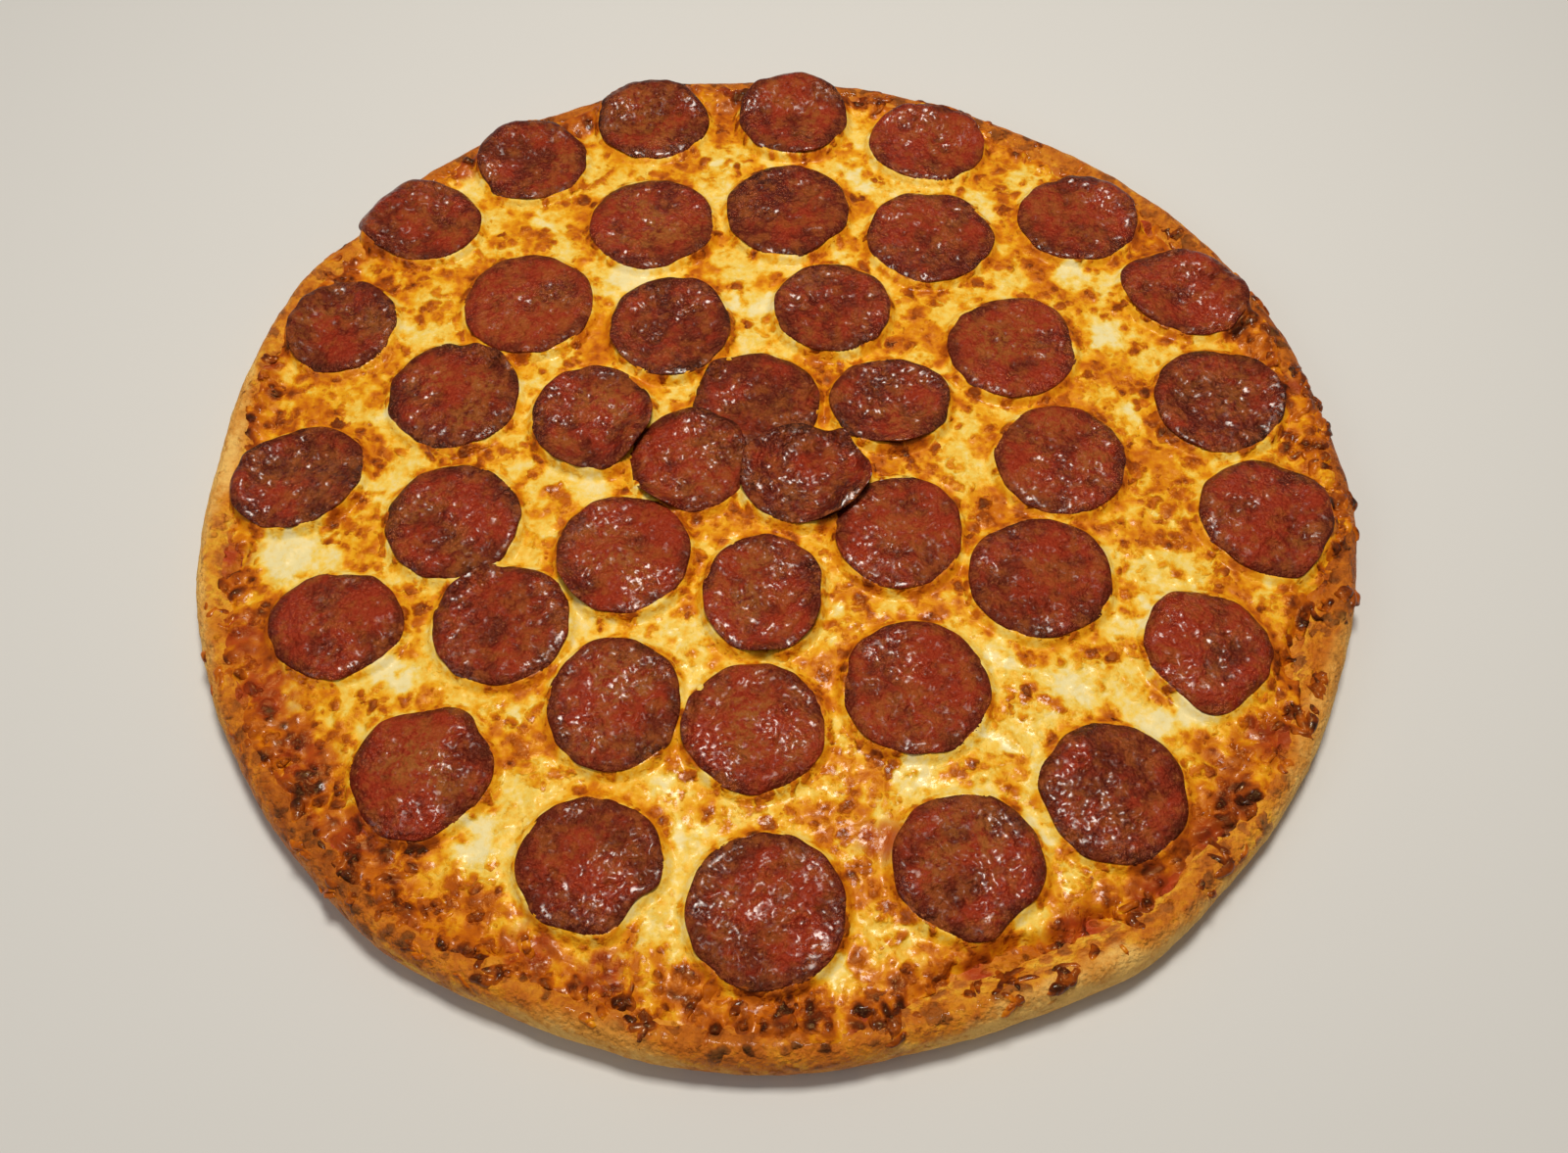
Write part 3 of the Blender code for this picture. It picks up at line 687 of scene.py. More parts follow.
# %% Browning
browning, takes, gives = new_group(
    "browning",
    {"Amount": 0.5, "Raggedness": 0.2, "Noise Scale": 900.0,
     "Fresh": rgb("f3e3a0"), "Golden": rgb("e89a1c"), "Burnt": rgb("5a2a10")},
    {"Color": "NodeSocketColor"},
)
ragged = noise(browning, takes.outputs["Noise Scale"], 4.0, 0.65)
centred = calc(browning, "SUBTRACT", ragged, 0.5)
shift = calc(browning, "MULTIPLY", centred, takes.outputs["Raggedness"])
amount = calc(browning, "ADD", takes.outputs["Amount"], shift, clamp=True)
golden = mix_colours(browning, between(browning, amount, 0.15, 0.6),
                     takes.outputs["Fresh"], takes.outputs["Golden"])
browned = mix_colours(browning, between(browning, amount, 0.55, 1.0),
                      golden, takes.outputs["Burnt"])
browning.links.new(browned, gives.inputs["Color"])
print("browning:", len(browning.nodes), "nodes")

# %% [markdown]
# Grain is a fine height for bumps: noise, with a small pit taken out at the middle of each cell of
# a Voronoi pattern. Dough, cheese and meat all have it, each at a size of its own.

# %% Grain
grain, takes, gives = new_group("grain", {"Scale": 900.0, "Pits": 0.3},
                                {"Height": "NodeSocketFloat"})
fine = noise(grain, takes.outputs["Scale"], 4.0, 0.6)
place = add_node(grain, "ShaderNodeTexCoord").outputs["Object"]
cells = add_node(grain, "ShaderNodeTexVoronoi",
                 {"Vector": place, "Scale": takes.outputs["Scale"]}, feature="F1")
pitted = calc(grain, "MULTIPLY", cells.outputs["Distance"], takes.outputs["Pits"])
grain.links.new(calc(grain, "SUBTRACT", fine, pitted), gives.inputs["Height"])
print("grain:", len(grain.nodes), "nodes")

# %% [markdown]
# Spots are the cells of a Voronoi pattern too. Noise pulls them out of round, and three chances
# that come with each cell say whether it shows, how large it is and how strong. Bubbles in
# cheese, blisters in dough and bits of fat differ only in size and number.

# %% Spots
spots, takes, gives = new_group("spots", {"Scale": 250.0, "Size": 0.4, "Share": 0.6},
                                {"Mask": "NodeSocketFloat"})
place = add_node(spots, "ShaderNodeTexCoord").outputs["Object"]
pull_scale = calc(spots, "MULTIPLY", takes.outputs["Scale"], 1.1)
wander = add_node(spots, "ShaderNodeTexNoise",
                  {"Vector": place, "Scale": pull_scale, "Detail": 3.0})
centred = add_node(spots, "ShaderNodeVectorMath", {0: wander.outputs["Color"], 1: (0.5, 0.5, 0.5)},
                   operation="SUBTRACT")
pull = calc(spots, "DIVIDE", 1.6, takes.outputs["Scale"])
pulled = add_node(spots, "ShaderNodeVectorMath", {0: centred.outputs[0], "Scale": pull},
                  operation="SCALE")
moved = add_node(spots, "ShaderNodeVectorMath", {0: place, 1: pulled.outputs[0]}, operation="ADD")
cells = add_node(spots, "ShaderNodeTexVoronoi",
                 {"Vector": moved.outputs[0], "Scale": takes.outputs["Scale"], "Randomness": 1.0})
chance = add_node(spots, "ShaderNodeSeparateColor", {"Color": cells.outputs["Color"]})
away = calc(spots, "MULTIPLY_ADD", chance.outputs["Green"], 0.22, cells.outputs["Distance"])
round_spot = between(spots, away, calc(spots, "ADD", takes.outputs["Size"], 0.22),
                     calc(spots, "MULTIPLY", takes.outputs["Size"], 0.6))
chosen = calc(spots, "LESS_THAN", chance.outputs["Red"], takes.outputs["Share"])
strong = calc(spots, "MULTIPLY_ADD", chance.outputs["Blue"], 0.65, 0.35)
spots.links.new(calc(spots, "MULTIPLY", calc(spots, "MULTIPLY", round_spot, chosen), strong),
                gives.inputs["Mask"])
print("spots:", len(spots.nodes), "nodes")

# %% [markdown]
# Crisping is how cheese browns. It bubbled up in buttons and smaller beads, and those browned
# first. So two sizes of spots are laid over a smooth amount of heat, and the sum reads its colour
# off a ramp from cream to nearly black. The spots come out as a height as well, for the bump.

# %% Crisping
crisping, takes, gives = new_group(
    "crisping", {"Cooked": 0.3, "Blobs": 0.38},
    {"Color": "NodeSocketColor", "Raised": "NodeSocketFloat"},
)
buttons = use_group(crisping, spots, Scale=175.0, Size=0.48, Share=0.85).outputs["Mask"]
beads = use_group(crisping, spots, Scale=430.0, Size=0.36, Share=0.65).outputs["Mask"]
raised = calc(crisping, "MULTIPLY_ADD", beads, 0.3, buttons)
raised = calc(crisping, "MULTIPLY", raised, between(crisping, takes.outputs["Cooked"], -0.02, 0.26))
centred = calc(crisping, "SUBTRACT", noise(crisping, 480.0, 5.0, 0.6), 0.5)
mottle = calc(crisping, "MULTIPLY", centred, 0.4)
amount = calc(crisping, "ADD", calc(crisping, "ADD", takes.outputs["Cooked"], mottle),
              calc(crisping, "MULTIPLY", raised, takes.outputs["Blobs"]), clamp=True)
ramp = add_node(crisping, "ShaderNodeValToRGB", {"Fac": amount})
COOKED = ((0.0, "f3e2a6"), (0.13, "f5cf5c"), (0.25, "f0ac1c"), (0.36, "de860a"), (0.48, "c6640a"),
          (0.62, "a44a0a"), (0.80, "6e2a0a"), (1.0, "381208"))
stops = ramp.color_ramp.elements
stops[0].color, stops[1].color = rgb(COOKED[0][1]), rgb(COOKED[-1][1])
for at, colour in COOKED[1:-1]:
    stops.new(at).color = rgb(colour)
crisping.links.new(ramp.outputs["Color"], gives.inputs["Color"])
crisping.links.new(raised, gives.inputs["Raised"])
print("crisping:", len(crisping.nodes), "nodes")

# %% [markdown]
# Grease turns an amount of oil into how rough and how coated a surface is. Oil lies in streaks,
# and its film is broken up finely, so that the gloss sparkles and doesn't look like varnish.

# %% Grease
grease, takes, gives = new_group(
    "grease", {"Oil": 0.5, "Dry": 0.6, "Wet": 0.2},
    {"Roughness": "NodeSocketFloat", "Coat": "NodeSocketFloat"},
)
streaks = noise(grease, 260.0, 3.0)
oily = calc(grease, "ADD", takes.outputs["Oil"],
            calc(grease, "MULTIPLY", calc(grease, "SUBTRACT", streaks, 0.5), 0.8), clamp=True)
gap = calc(grease, "SUBTRACT", takes.outputs["Wet"], takes.outputs["Dry"])
rough = calc(grease, "ADD", takes.outputs["Dry"], calc(grease, "MULTIPLY", oily, gap))
grease.links.new(rough, gives.inputs["Roughness"])
film = between(grease, noise(grease, 800.0, 2.0), 0.44, 0.62)
grease.links.new(calc(grease, "MULTIPLY", oily, film), gives.inputs["Coat"])
print("groups:", [group.name for group in bpy.data.node_groups])

# %% [markdown]
# Every finish is one Principled shader. What is the same all over the piece is set on its sockets
# directly, and what changes from place to place is linked. Relief too fine for the mesh goes in
# as a bump, which only tilts the surface's normals and so costs no triangles.

# %% A new finish
def new_finish(name, **constants):
    """A material with its shader's constant values set. Gives its tree and shader too."""
    made = bpy.data.materials.new(name)
    made.use_nodes = True
    shader = made.node_tree.nodes["Principled BSDF"]
    for socket, value in constants.items():
        shader.inputs[socket.replace("_", " ")].default_value = value
    return made, made.node_tree, shader


def join_up(tree, shader, colour, wet, coat, height, depth):
    """Joins a colour, a grease, a share of its coat, and a bump of that depth in metres."""
    relief = add_node(tree, "ShaderNodeBump",
                      {"Height": height, "Distance": depth, "Strength": 1.0})
    coated = calc(tree, "MULTIPLY", wet.outputs["Coat"], coat)
    for socket, value in (("Base Color", colour), ("Roughness", wet.outputs["Roughness"]),
                          ("Coat Weight", coated), ("Normal", relief.outputs["Normal"])):
        tree.links.new(value, shader.inputs[socket])


print("groups ready for the finishes:", len(bpy.data.node_groups))

# %% [markdown]
# The dough baked to a pale gold, with browner patches on the crown where it bulged, and an orange
# stain where oil and melted cheese soaked in from the middle. So the finish has two colours: plain
# browning for bare dough, and the cheese's own crisping for the stain. A mask that the mesh
# carries says where each one shows.

# %% The crust's finish
crust_finish, tree, shader = new_finish("baked_crust", Specular_IOR_Level=0.4,
                                        Specular_Tint=rgb("ffd8a0"))
crumb = use_group(tree, grain, Scale=650.0, Pits=0.4)
blisters = use_group(tree, spots, Scale=250.0, Size=0.22, Share=0.4).outputs["Mask"]
toasted = calc(tree, "ADD", mask(tree, "toast"), calc(tree, "MULTIPLY", blisters, 0.4))
baked = use_group(tree, browning, Amount=toasted, Raggedness=0.75, Noise_Scale=520.0,
                  Fresh=rgb("fac66c"), Golden=rgb("e0963c"), Burnt=rgb("5c2c10"))
stain_heat = calc(tree, "MULTIPLY_ADD", mask(tree, "toast"), 0.55, 0.14)
stained = use_group(tree, crisping, Cooked=stain_heat, Blobs=0.43)
soaked_in = calc(tree, "MULTIPLY", mask(tree, "stain"), 0.85)
colour = mix_colours(tree, soaked_in, baked.outputs["Color"], stained.outputs["Color"])
oiled = calc(tree, "MULTIPLY", mask(tree, "stain"), 0.6)
wet = use_group(tree, grease, Oil=oiled, Dry=0.78, Wet=0.46)
lumpy = calc(tree, "MULTIPLY", stained.outputs["Raised"], mask(tree, "stain"))
raised = calc(tree, "MULTIPLY_ADD", blisters, 0.5, lumpy)
height = calc(tree, "ADD", crumb.outputs["Height"], raised)
join_up(tree, shader, colour, wet, 0.16, height, 1.1 * MM)
print("crust finish:", len(tree.nodes), "nodes")

# %% [markdown]
# The crust's shape is the rim's profile carried round the circle: from the middle of the
# underside out, up over the crown and back to the middle of the bed. A lathe would make it too
# even, so the reach and the height both change with the bearing, and noise puffs the dough. The
# noise fades out at the foot, which stays flat on the table.

# %% The crust
ROUND = 1080
SIDE_ROWS, CROWN_ROWS, SLOPE_ROWS = 12, 12, 34
around = np.linspace(0, TURN, ROUND, endpoint=False)
side = np.linspace(0, math.pi / 2, SIDE_ROWS)
inset_rows = [FOOT_INSET * (1 - math.sin(a)) for a in side]
height_rows = [RIM_WAIST * (1 - math.cos(a)) for a in side]
climb = np.linspace(0, math.pi / 2, CROWN_ROWS + 1)[1:]
crown_rows = [CROWN_INSET * (1 - math.cos(a)) for a in climb]
slope_rows = list(np.linspace(CROWN_INSET, 24 * MM, SLOPE_ROWS + 1)[1:])
inset = np.array(inset_rows + crown_rows + slope_rows)[:, None] * np.ones(ROUND)
bearing = around * np.ones((len(inset), 1))
height = crust_height(bearing, inset)
height[:SIDE_ROWS] = np.array(height_rows)[:, None]
arc = np.arange(len(inset))[:, None] * 0.9 * MM
lift = np.clip(height / RIM_WAIST, 0, 1)
x, y = rim_reach(around) * np.cos(around), rim_reach(around) * np.sin(around)
dough = (
    0.9 * sway(x + arc, y + arc, 13 * MM, 71, 2)
    + 0.5 * sway(x - arc, y + arc, 4 * MM, 72, 3)
    + 0.5 * np.clip(ridges(x + arc, y - arc, 6 * MM, 73) - 0.75, 0, 1)
) * MM * lift * (1 - smooth_step(10 * MM, 16 * MM, inset))
reach = rim_reach(around) - inset + dough * (1 - smooth_step(1 * MM, 6 * MM, inset))
above_waist = (np.arange(len(inset)) >= SIDE_ROWS)[:, None]
height = height + dough * smooth_step(-1 * MM, 5 * MM, inset) * above_waist
rows = np.stack([reach * np.cos(around), reach * np.sin(around), height], -1)


def flat_rings(shares, reach, level):
    """Rings at some shares of a reach, all at one level: rings by points by three."""
    return np.stack([np.stack([share * reach * np.cos(around), share * reach * np.sin(around),
                               np.full(ROUND, level)], -1) for share in shares])


stack = np.concatenate([flat_rings((0.25, 0.5, 0.7, 0.85, 0.95), reach[0], 0.0), rows,
                        flat_rings((0.9, 0.6, 0.25), reach[-1], BED_HEIGHT)])
places = np.vstack([stack.reshape(-1, 3), [[0, 0, 0], [0, 0, BED_HEIGHT]]])
step = np.arange(ROUND)
last = (len(stack) - 1) * ROUND + step
skin = bands(0, len(stack), ROUND)[:, ::-1]
skin = np.vstack([skin, np.column_stack([np.full(ROUND, len(places) - 2), np.roll(step, -1), step]),
                  np.column_stack([np.full(ROUND, len(places) - 1), last, np.roll(last, -1)])])
print("rings of the crust:", len(stack), "of", ROUND, "points")

# %% [markdown]
# No crust bakes evenly. Wide bell curves round the circle say which stretches of the rim browned
# and which stayed pale, and noise makes their edges ragged. Two masks come out of it: how toasted
# each point is, and how far the oil and cheese stained it.

# %% Where the crust browned
bearing_at = np.arctan2(places[:, 1], places[:, 0])
inset_at = rim_reach(bearing_at) - np.hypot(places[:, 0], places[:, 1])
height_at = places[:, 2]
# The noise is read along a slant, so that it changes up the side too and leaves no upright streaks.
east_at, north_at = places[:, 0] + 1.6 * height_at, places[:, 1] - 1.9 * height_at
on_top = smooth_step(0, 2.5 * MM, height_at)
# Where the bare dough stayed pale: bearing in degrees, mm in from the edge, spread in degrees.
PALE_RIM = ((177, 8, 12), (202, 4, 9), (335, 8, 11), (297, 7, 9), (52, 3, 8), (254, 4, 7),
            (5, -5, 24), (220, -4, 20), (90, -3, 30), (272, -2, 10))
pale_inset = MM * (0.5 + round_the_rim(bearing_at, PALE_RIM))
ragged_edge = 6 * MM * sway(east_at, north_at, 5 * MM, 74, 3)
stain = smooth_step(-2 * MM, 2 * MM, inset_at - pale_inset + ragged_edge) * on_top
BROWN_RIM = ((3, 0.42, 26), (220, 0.32, 18), (120, 0.22, 22), (78, 0.20, 20), (266, 0.20, 18),
             (180, -0.12, 20), (337, -0.10, 12), (292, -0.08, 12), (48, 0.05, 12))
toast = (
    0.22
    + round_the_rim(bearing_at, BROWN_RIM)
    + 0.55 * sway(east_at, north_at, 6 * MM, 75, 3)
    + 0.5 * np.clip(clouds(east_at, north_at, 3 * MM, 77, 2) - 0.66, 0, 1)
    + 0.22 * smooth_step(9 * MM, 14 * MM, height_at)
)
base_toast = 0.35 + 0.6 * sway(places[:, 0], places[:, 1], 14 * MM, 76, 4)
toast = np.where(height_at < 0.5 * MM, base_toast, toast)
crust = new_piece("crust_baked", places, skin, crust_finish, "crust", "crust",
                  stain=stain, toast=np.clip(toast, 0, 1))
print("crust triangles:", len(crust.data.polygons))

# %% [markdown]
# Only a ragged tongue of sauce shows, between the cheese and the bare rim. It is a thin wet skin of
# crushed tomato, baked dry and dark at its edge. Its finish is browning used twice, once in tomato
# reds and once in the orange of oil that soaked through, and a mask says which of them shows.

# %% The sauce's finish
sauce_finish, tree, shader = new_finish("tomato_sauce", Specular_IOR_Level=0.4,
                                        Specular_Tint=rgb("ffb890"))
seeds = use_group(tree, spots, Scale=300.0, Size=0.42, Share=0.8).outputs["Mask"]
dried = calc(tree, "MULTIPLY_ADD", seeds, 0.35, mask(tree, "toast"))
cooked = use_group(tree, browning, Amount=dried, Raggedness=0.5, Noise_Scale=500.0,
                   Fresh=rgb("b23a18"), Golden=rgb("9c3c14"), Burnt=rgb("451608"))
oiled = use_group(tree, browning, Amount=dried, Raggedness=0.5, Noise_Scale=500.0,
                  Fresh=rgb("dc8f24"), Golden=rgb("b9620f"), Burnt=rgb("50200a"))
colour = mix_colours(tree, mask(tree, "red"), oiled.outputs["Color"], cooked.outputs["Color"])
wet = use_group(tree, grease, Oil=0.55, Dry=0.6, Wet=0.3)
pulp = use_group(tree, grain, Scale=620.0, Pits=0.5)
height = calc(tree, "MULTIPLY_ADD", pulp.outputs["Height"], 0.5, seeds)
join_up(tree, shader, colour, wet, 0.2, height, 0.9 * MM)
print("sauce finish:", len(tree.nodes), "nodes")

# %% [markdown]
# The sauce itself is a disc laid on the crust's own profile. It thins to nothing at a ragged edge,
# so that it reads as soaked in and not as a plate.

# %% The sauce
RINGS = 120
share, bearing, triangles = disc(RINGS)
away = share * sauce_reach(bearing)
x, y = away * np.cos(bearing), away * np.sin(bearing)
inset = rim_reach(bearing) - away
ragged = MM * 6 * sway(x, y, 7 * MM, 81, 3)
spread_out = smooth_step(0, 5 * MM, sauce_reach(bearing) - away - 1.5 * MM + ragged)
depth = 1.3 + 0.5 * sway(x, y, 3 * MM, 82, 2)
top = crust_height(bearing, inset) + MM * (-0.5 + spread_out * depth)
skin_top = np.column_stack([x, y, top])
under = sunk_rows(x, y, bearing, away, RINGS, (1.0, 0.97, 0.9, 0.6, 0.3), 0.6 * MM)
places, skin = close_under(skin_top, triangles, RINGS, under, [[0, 0, BED_HEIGHT - 0.6 * MM]])
x, y = places[:, 0], places[:, 1]
toast = 0.35 + 0.8 * (clouds(x, y, 7 * MM, 83, 3) - 0.45)
red = np.maximum(look_up(bare, x, y), smooth_step(0.60, 0.72, clouds(x, y, 9 * MM, 84, 2)))
sauce = new_piece("sauce_baked", places, skin, sauce_finish, "sauce", "sauce",
                  toast=np.clip(toast, 0, 1), red=red)
print("sauce triangles:", len(sauce.data.polygons))

# %% [markdown]
# The cheese is the face of the pizza. Its colour runs from cream through butter yellow and orange
# to brown, by how hot each spot got, which the map of heat says. Cheese also lets some light in,
# and the warm tint on its gloss stands for that, because real scattering would be slow to render.
# Where the sauce shows through, the colour is that of baked tomato. Oil makes all of it glisten.

# %% The cheese's finish
cheese_finish, tree, shader = new_finish("melted_cheese", Specular_IOR_Level=0.4,
                                         Specular_Tint=rgb("ffcf80"), Coat_Roughness=0.15)
crisped = use_group(tree, crisping, Cooked=mask(tree, "cooked"), Blobs=0.41)
pulpy = calc(tree, "MULTIPLY_ADD", crisped.outputs["Raised"], 0.35, mask(tree, "cooked"))
tomato = use_group(tree, browning, Amount=pulpy, Raggedness=0.5, Noise_Scale=500.0,
                   Fresh=rgb("b02e14"), Golden=rgb("8e2c10"), Burnt=rgb("461808"))
reddened = calc(tree, "MULTIPLY", mask(tree, "bare"), 0.85)
colour = mix_colours(tree, reddened, crisped.outputs["Color"], tomato.outputs["Color"])
wet = use_group(tree, grease, Oil=mask(tree, "oil"), Dry=0.55, Wet=0.26)
skin_grain = use_group(tree, grain, Scale=620.0, Pits=0.3)
height = calc(tree, "MULTIPLY_ADD", skin_grain.outputs["Height"], 0.2, crisped.outputs["Raised"])
join_up(tree, shader, colour, wet, 0.5, height, 1.0 * MM)
print("cheese finish:", len(tree.nodes), "nodes")

# %% [markdown]
# The cheese is one disc of even triangles, a millimetre across. Each point looks up its height and
# its heat in the maps. The skin is then closed underneath, a hair below the top of the crust, so
# that it is a solid body and not a sheet of paper.

# %% The cheese
RINGS = 174
share, bearing, triangles = disc(RINGS)
away = share * cheese_reach(bearing)
x, y = away * np.cos(bearing), away * np.sin(bearing)
top = look_up(cheese_height, x, y)
under = sunk_rows(x, y, bearing, away, RINGS, (0.99, 0.9, 0.6, 0.3), 0.7 * MM)
places, skin = close_under(np.column_stack([x, y, top]), triangles, RINGS, under,
                           [[0, 0, BED_HEIGHT - 0.7 * MM]])
x, y = places[:, 0], places[:, 1]
oil = 0.45 + 0.9 * sway(x, y, 7 * MM, 92, 2)
cheese = new_piece("cheese_melted", places, skin, cheese_finish, "cheese", "cheese",
                   cooked=look_up(heat, x, y), bare=look_up(bare, x, y), oil=np.clip(oil, 0, 1))
print("cheese triangles:", len(cheese.data.polygons))

# %% [markdown]
# Shreds that fell on the rim or the thin border never melted in. They dried to crisp brown threads.
# Each is a short flattened tube along a bent line that follows the surface below it. It is more
# than half sunk, has round ends, and takes the colour of the cheese round it at its foot. All of
# them are worked out at once, as one array of strands by stations by sides.

# %% The crisp shreds
def surface_height(x, y):
    """The higher of the crust and the cheese at each place."""
    bearing = np.arctan2(y, x)
    inset = rim_reach(bearing) - np.hypot(x, y)
    dough = crust_height(bearing, np.maximum(inset, 0.2 * MM))
    return np.maximum(np.where(inset > 3 * MM, look_up(cheese_height, x, y), 0), dough)


def strands(x, y, turn, length, girth, bend, twist, stations=9, sides=8, sink=0.25, flat=0.55):
    """Flattened tubes with round ends along bent lines, over stations by sides."""
    along = np.linspace(0, 1, stations)[None, :]
    u = (along - 0.5) * length[:, None]
    bent = bend[:, None] * np.sin(math.pi * along) + twist[:, None] * np.sin(TURN * along)
    v = bent * length[:, None]
    cx = x[:, None] + u * np.cos(turn)[:, None] - v * np.sin(turn)[:, None]
    cy = y[:, None] + u * np.sin(turn)[:, None] + v * np.cos(turn)[:, None]
    girths = girth[:, None] * np.sqrt(1 - np.abs(1.96 * along - 0.98) ** 3.5)
    girths *= 0.65 + 0.75 * clouds(cx, cy, 2.2 * MM, 104, 1)
    cz = surface_height(cx, cy) + flat * girths * (1 - 2 * sink) - 0.1 * MM
    angle = np.linspace(0, TURN, sides, endpoint=False)[None, None, :]
    side_x, side_y = -np.sin(turn)[:, None, None], np.cos(turn)[:, None, None]
    px = cx[..., None] + girths[..., None] * np.cos(angle) * side_x
    py = cy[..., None] + girths[..., None] * np.cos(angle) * side_y
    pz = cz[..., None] + flat * girths[..., None] * np.sin(angle)
    rings = np.stack([px, py, pz], -1).reshape(len(x), stations * sides, 3)
    ends = np.stack([np.stack([c[:, k] for c in (cx, cy, cz)], -1) for k in (0, -1)], 1)
    push = 0.4 * girth[:, None] * np.column_stack([np.cos(turn), np.sin(turn)])
    ends[:, 0, :2] -= push
    ends[:, 1, :2] += push
    places = np.concatenate([rings, ends], 1)
    step = np.arange(sides)
    tail = stations * sides
    last = tail - sides + step
    one = np.vstack([bands(0, stations, sides)[:, ::-1],
                     np.column_stack([np.full(sides, tail), np.roll(step, -1), step]),
                     np.column_stack([np.full(sides, tail + 1), last, np.roll(last, -1)])])
    offsets = np.arange(len(x))[:, None, None] * (tail + 2)
    return places.reshape(-1, 3), (one[None] + offsets).reshape(-1, 3), tail + 2


print("top of the cheese at the middle:", round(float(surface_height(*np.zeros((2, 1)))[0]), 4))

# %% [markdown]
# Crisp shreds lie in small heaps, thick where the border browned and thin where it stayed pale. So
# a short list holds the sectors of the border, and another the heaps that stand out, and chance
# fills in the rest. None is centred on a slice or past the edge.

# %% Place the crisp shreds
# Sectors of the border: first bearing, last bearing, heaps, least and greatest distance in (mm).
CRISP_SECTORS = (
    (282, 306, 12, 3.5, 22), (306, 330, 14, 3.5, 24), (330, 352, 12, 2, 20),
    (352, 385, 36, 1.0, 17), (25, 60, 12, 2, 15), (60, 110, 9, 2, 13), (110, 150, 9, 2, 13),
    (150, 200, 9, 3, 14), (200, 240, 24, 2, 22), (240, 282, 26, 2.5, 24),
)
# Heaps that stand out: x and y in mm, and how many shreds.
DARK_HEAPS = (
    (157, -72, 5), (150, -86, 3), (62, -158, 7), (75, -157, 5), (30, -168, 3), (-75, -156, 4),
    (-38, -169, 3), (-18, -161, 2), (-130, -108, 3), (158, 84, 4), (162, 74, 4), (175, 20, 5),
    (176, -8, 5), (173, -42, 4), (170, 5, 4), (168, 40, 4), (-105, -128, 3), (120, -122, 3),
)
draw = np.random.default_rng(101)
heaps = [np.column_stack([draw.uniform(a, b, n), draw.uniform(near, far, n)])
         for a, b, n, near, far in CRISP_SECTORS]
bearing, inset = np.radians(np.vstack(heaps)[:, 0]), np.vstack(heaps)[:, 1] * MM
reach = rim_reach(bearing) - inset
marked = np.array(DARK_HEAPS)
x = np.append(reach * np.cos(bearing), marked[:, 0] * MM)
y = np.append(reach * np.sin(bearing), marked[:, 1] * MM)
many = np.append(draw.choice((1, 1, 2, 3, 4), len(reach)), marked[:, 2]).astype(int)
darker = np.append(np.zeros(len(reach)), np.full(len(marked), 0.08))
x, y, darker = (np.repeat(values, many) for values in (x, y, darker))
count = len(x)
x, y = x + draw.normal(0, 1.6 * MM, count), y + draw.normal(0, 1.6 * MM, count)
bearing = np.arctan2(y, x)
inset = rim_reach(bearing) - np.hypot(x, y)
CLEAR_OF_SLICES, CLEAR_OF_EDGE = 1.12, 0.8 * MM
keep = (look_up(np.minimum(cover, 3), x, y) > CLEAR_OF_SLICES) & (inset > CLEAR_OF_EDGE)
x, y, bearing, inset, darker = x[keep], y[keep], bearing[keep], inset[keep], darker[keep]
count = len(x)
length = np.where(darker > 0, draw.uniform(4.0, 9.0, count), draw.uniform(2.4, 6.5, count)) * MM
lean = np.where(inset < 5 * MM, 0.4, 1.5)
turn = bearing + math.pi / 2 + draw.uniform(-1, 1, count) * lean
girth = np.where(darker > 0, draw.uniform(1.1, 1.9, count), draw.uniform(0.7, 1.5, count)) * MM
places, skin, each = strands(x, y, turn, length, girth, draw.uniform(-0.14, 0.14, count),
                             draw.uniform(-0.05, 0.05, count), sink=0.62)
tone = np.repeat(np.clip(draw.normal(0.56, 0.13, count) + darker, 0.2, 0.9), each)
local = look_up(heat, places[:, 0], places[:, 1])
risen = places[:, 2] - surface_height(places[:, 0], places[:, 1])
cooked = local + np.maximum(tone - local, 0.12) * smooth_step(-0.1 * MM, 0.6 * MM, risen)
crisps = new_piece("crisp_shreds", places, skin, cheese_finish, None, "cheese",
                   cooked=cooked, bare=0 * cooked, oil=0.7 + 0 * cooked)
print("shreds:", count, "triangles:", len(crisps.data.polygons))

# %% [markdown]
# Baked pepperoni is deep red-brown, darker at its curled rim, mottled with paler bits of fat, and
# wrinkled all over. Fat that rendered out makes it shine in clusters of small sparks, with duller
# meat between. The wrinkles that can be felt are in the mesh, and the finest are a bump. Each
# slice has its own tone, because no two bake alike.

# %% The pepperoni's finish
pepperoni_finish, tree, shader = new_finish("baked_pepperoni", Specular_IOR_Level=0.85,
                                            Specular_Tint=rgb("ff9468"), Coat_Roughness=0.24)
# The meat's darkness is its char plus painted shade in the hollows of its folds.
meat = use_group(tree, browning, Amount=mask(tree, "char"), Raggedness=0.55, Noise_Scale=650.0,
                 Fresh=rgb("922610"), Golden=rgb("561208"), Burnt=rgb("240804"))
fat = use_group(tree, spots, Scale=600.0, Size=0.2, Share=0.3).outputs["Mask"]
tanned = between(tree, noise(tree, 220.0, 4.0, 0.6), 0.47, 0.66)
tanned = calc(tree, "MULTIPLY", tanned, 0.58)
colour = mix_colours(tree, tanned, meat.outputs["Color"], rgb("9c501c"))
colour = mix_colours(tree, calc(tree, "MULTIPLY", fat, 0.6), colour, rgb("c4784a"))
fibres = between(tree, noise(tree, 420.0, 4.0, 0.65), 0.40, 0.60)
colour = mix_colours(tree, calc(tree, "MULTIPLY", mask(tree, "oil"), fibres), colour, rgb("9c5c24"))
wet = use_group(tree, grease, Oil=mask(tree, "shine"), Dry=0.46, Wet=0.2)
wrinkle = use_group(tree, grain, Scale=800.0, Pits=0.5)
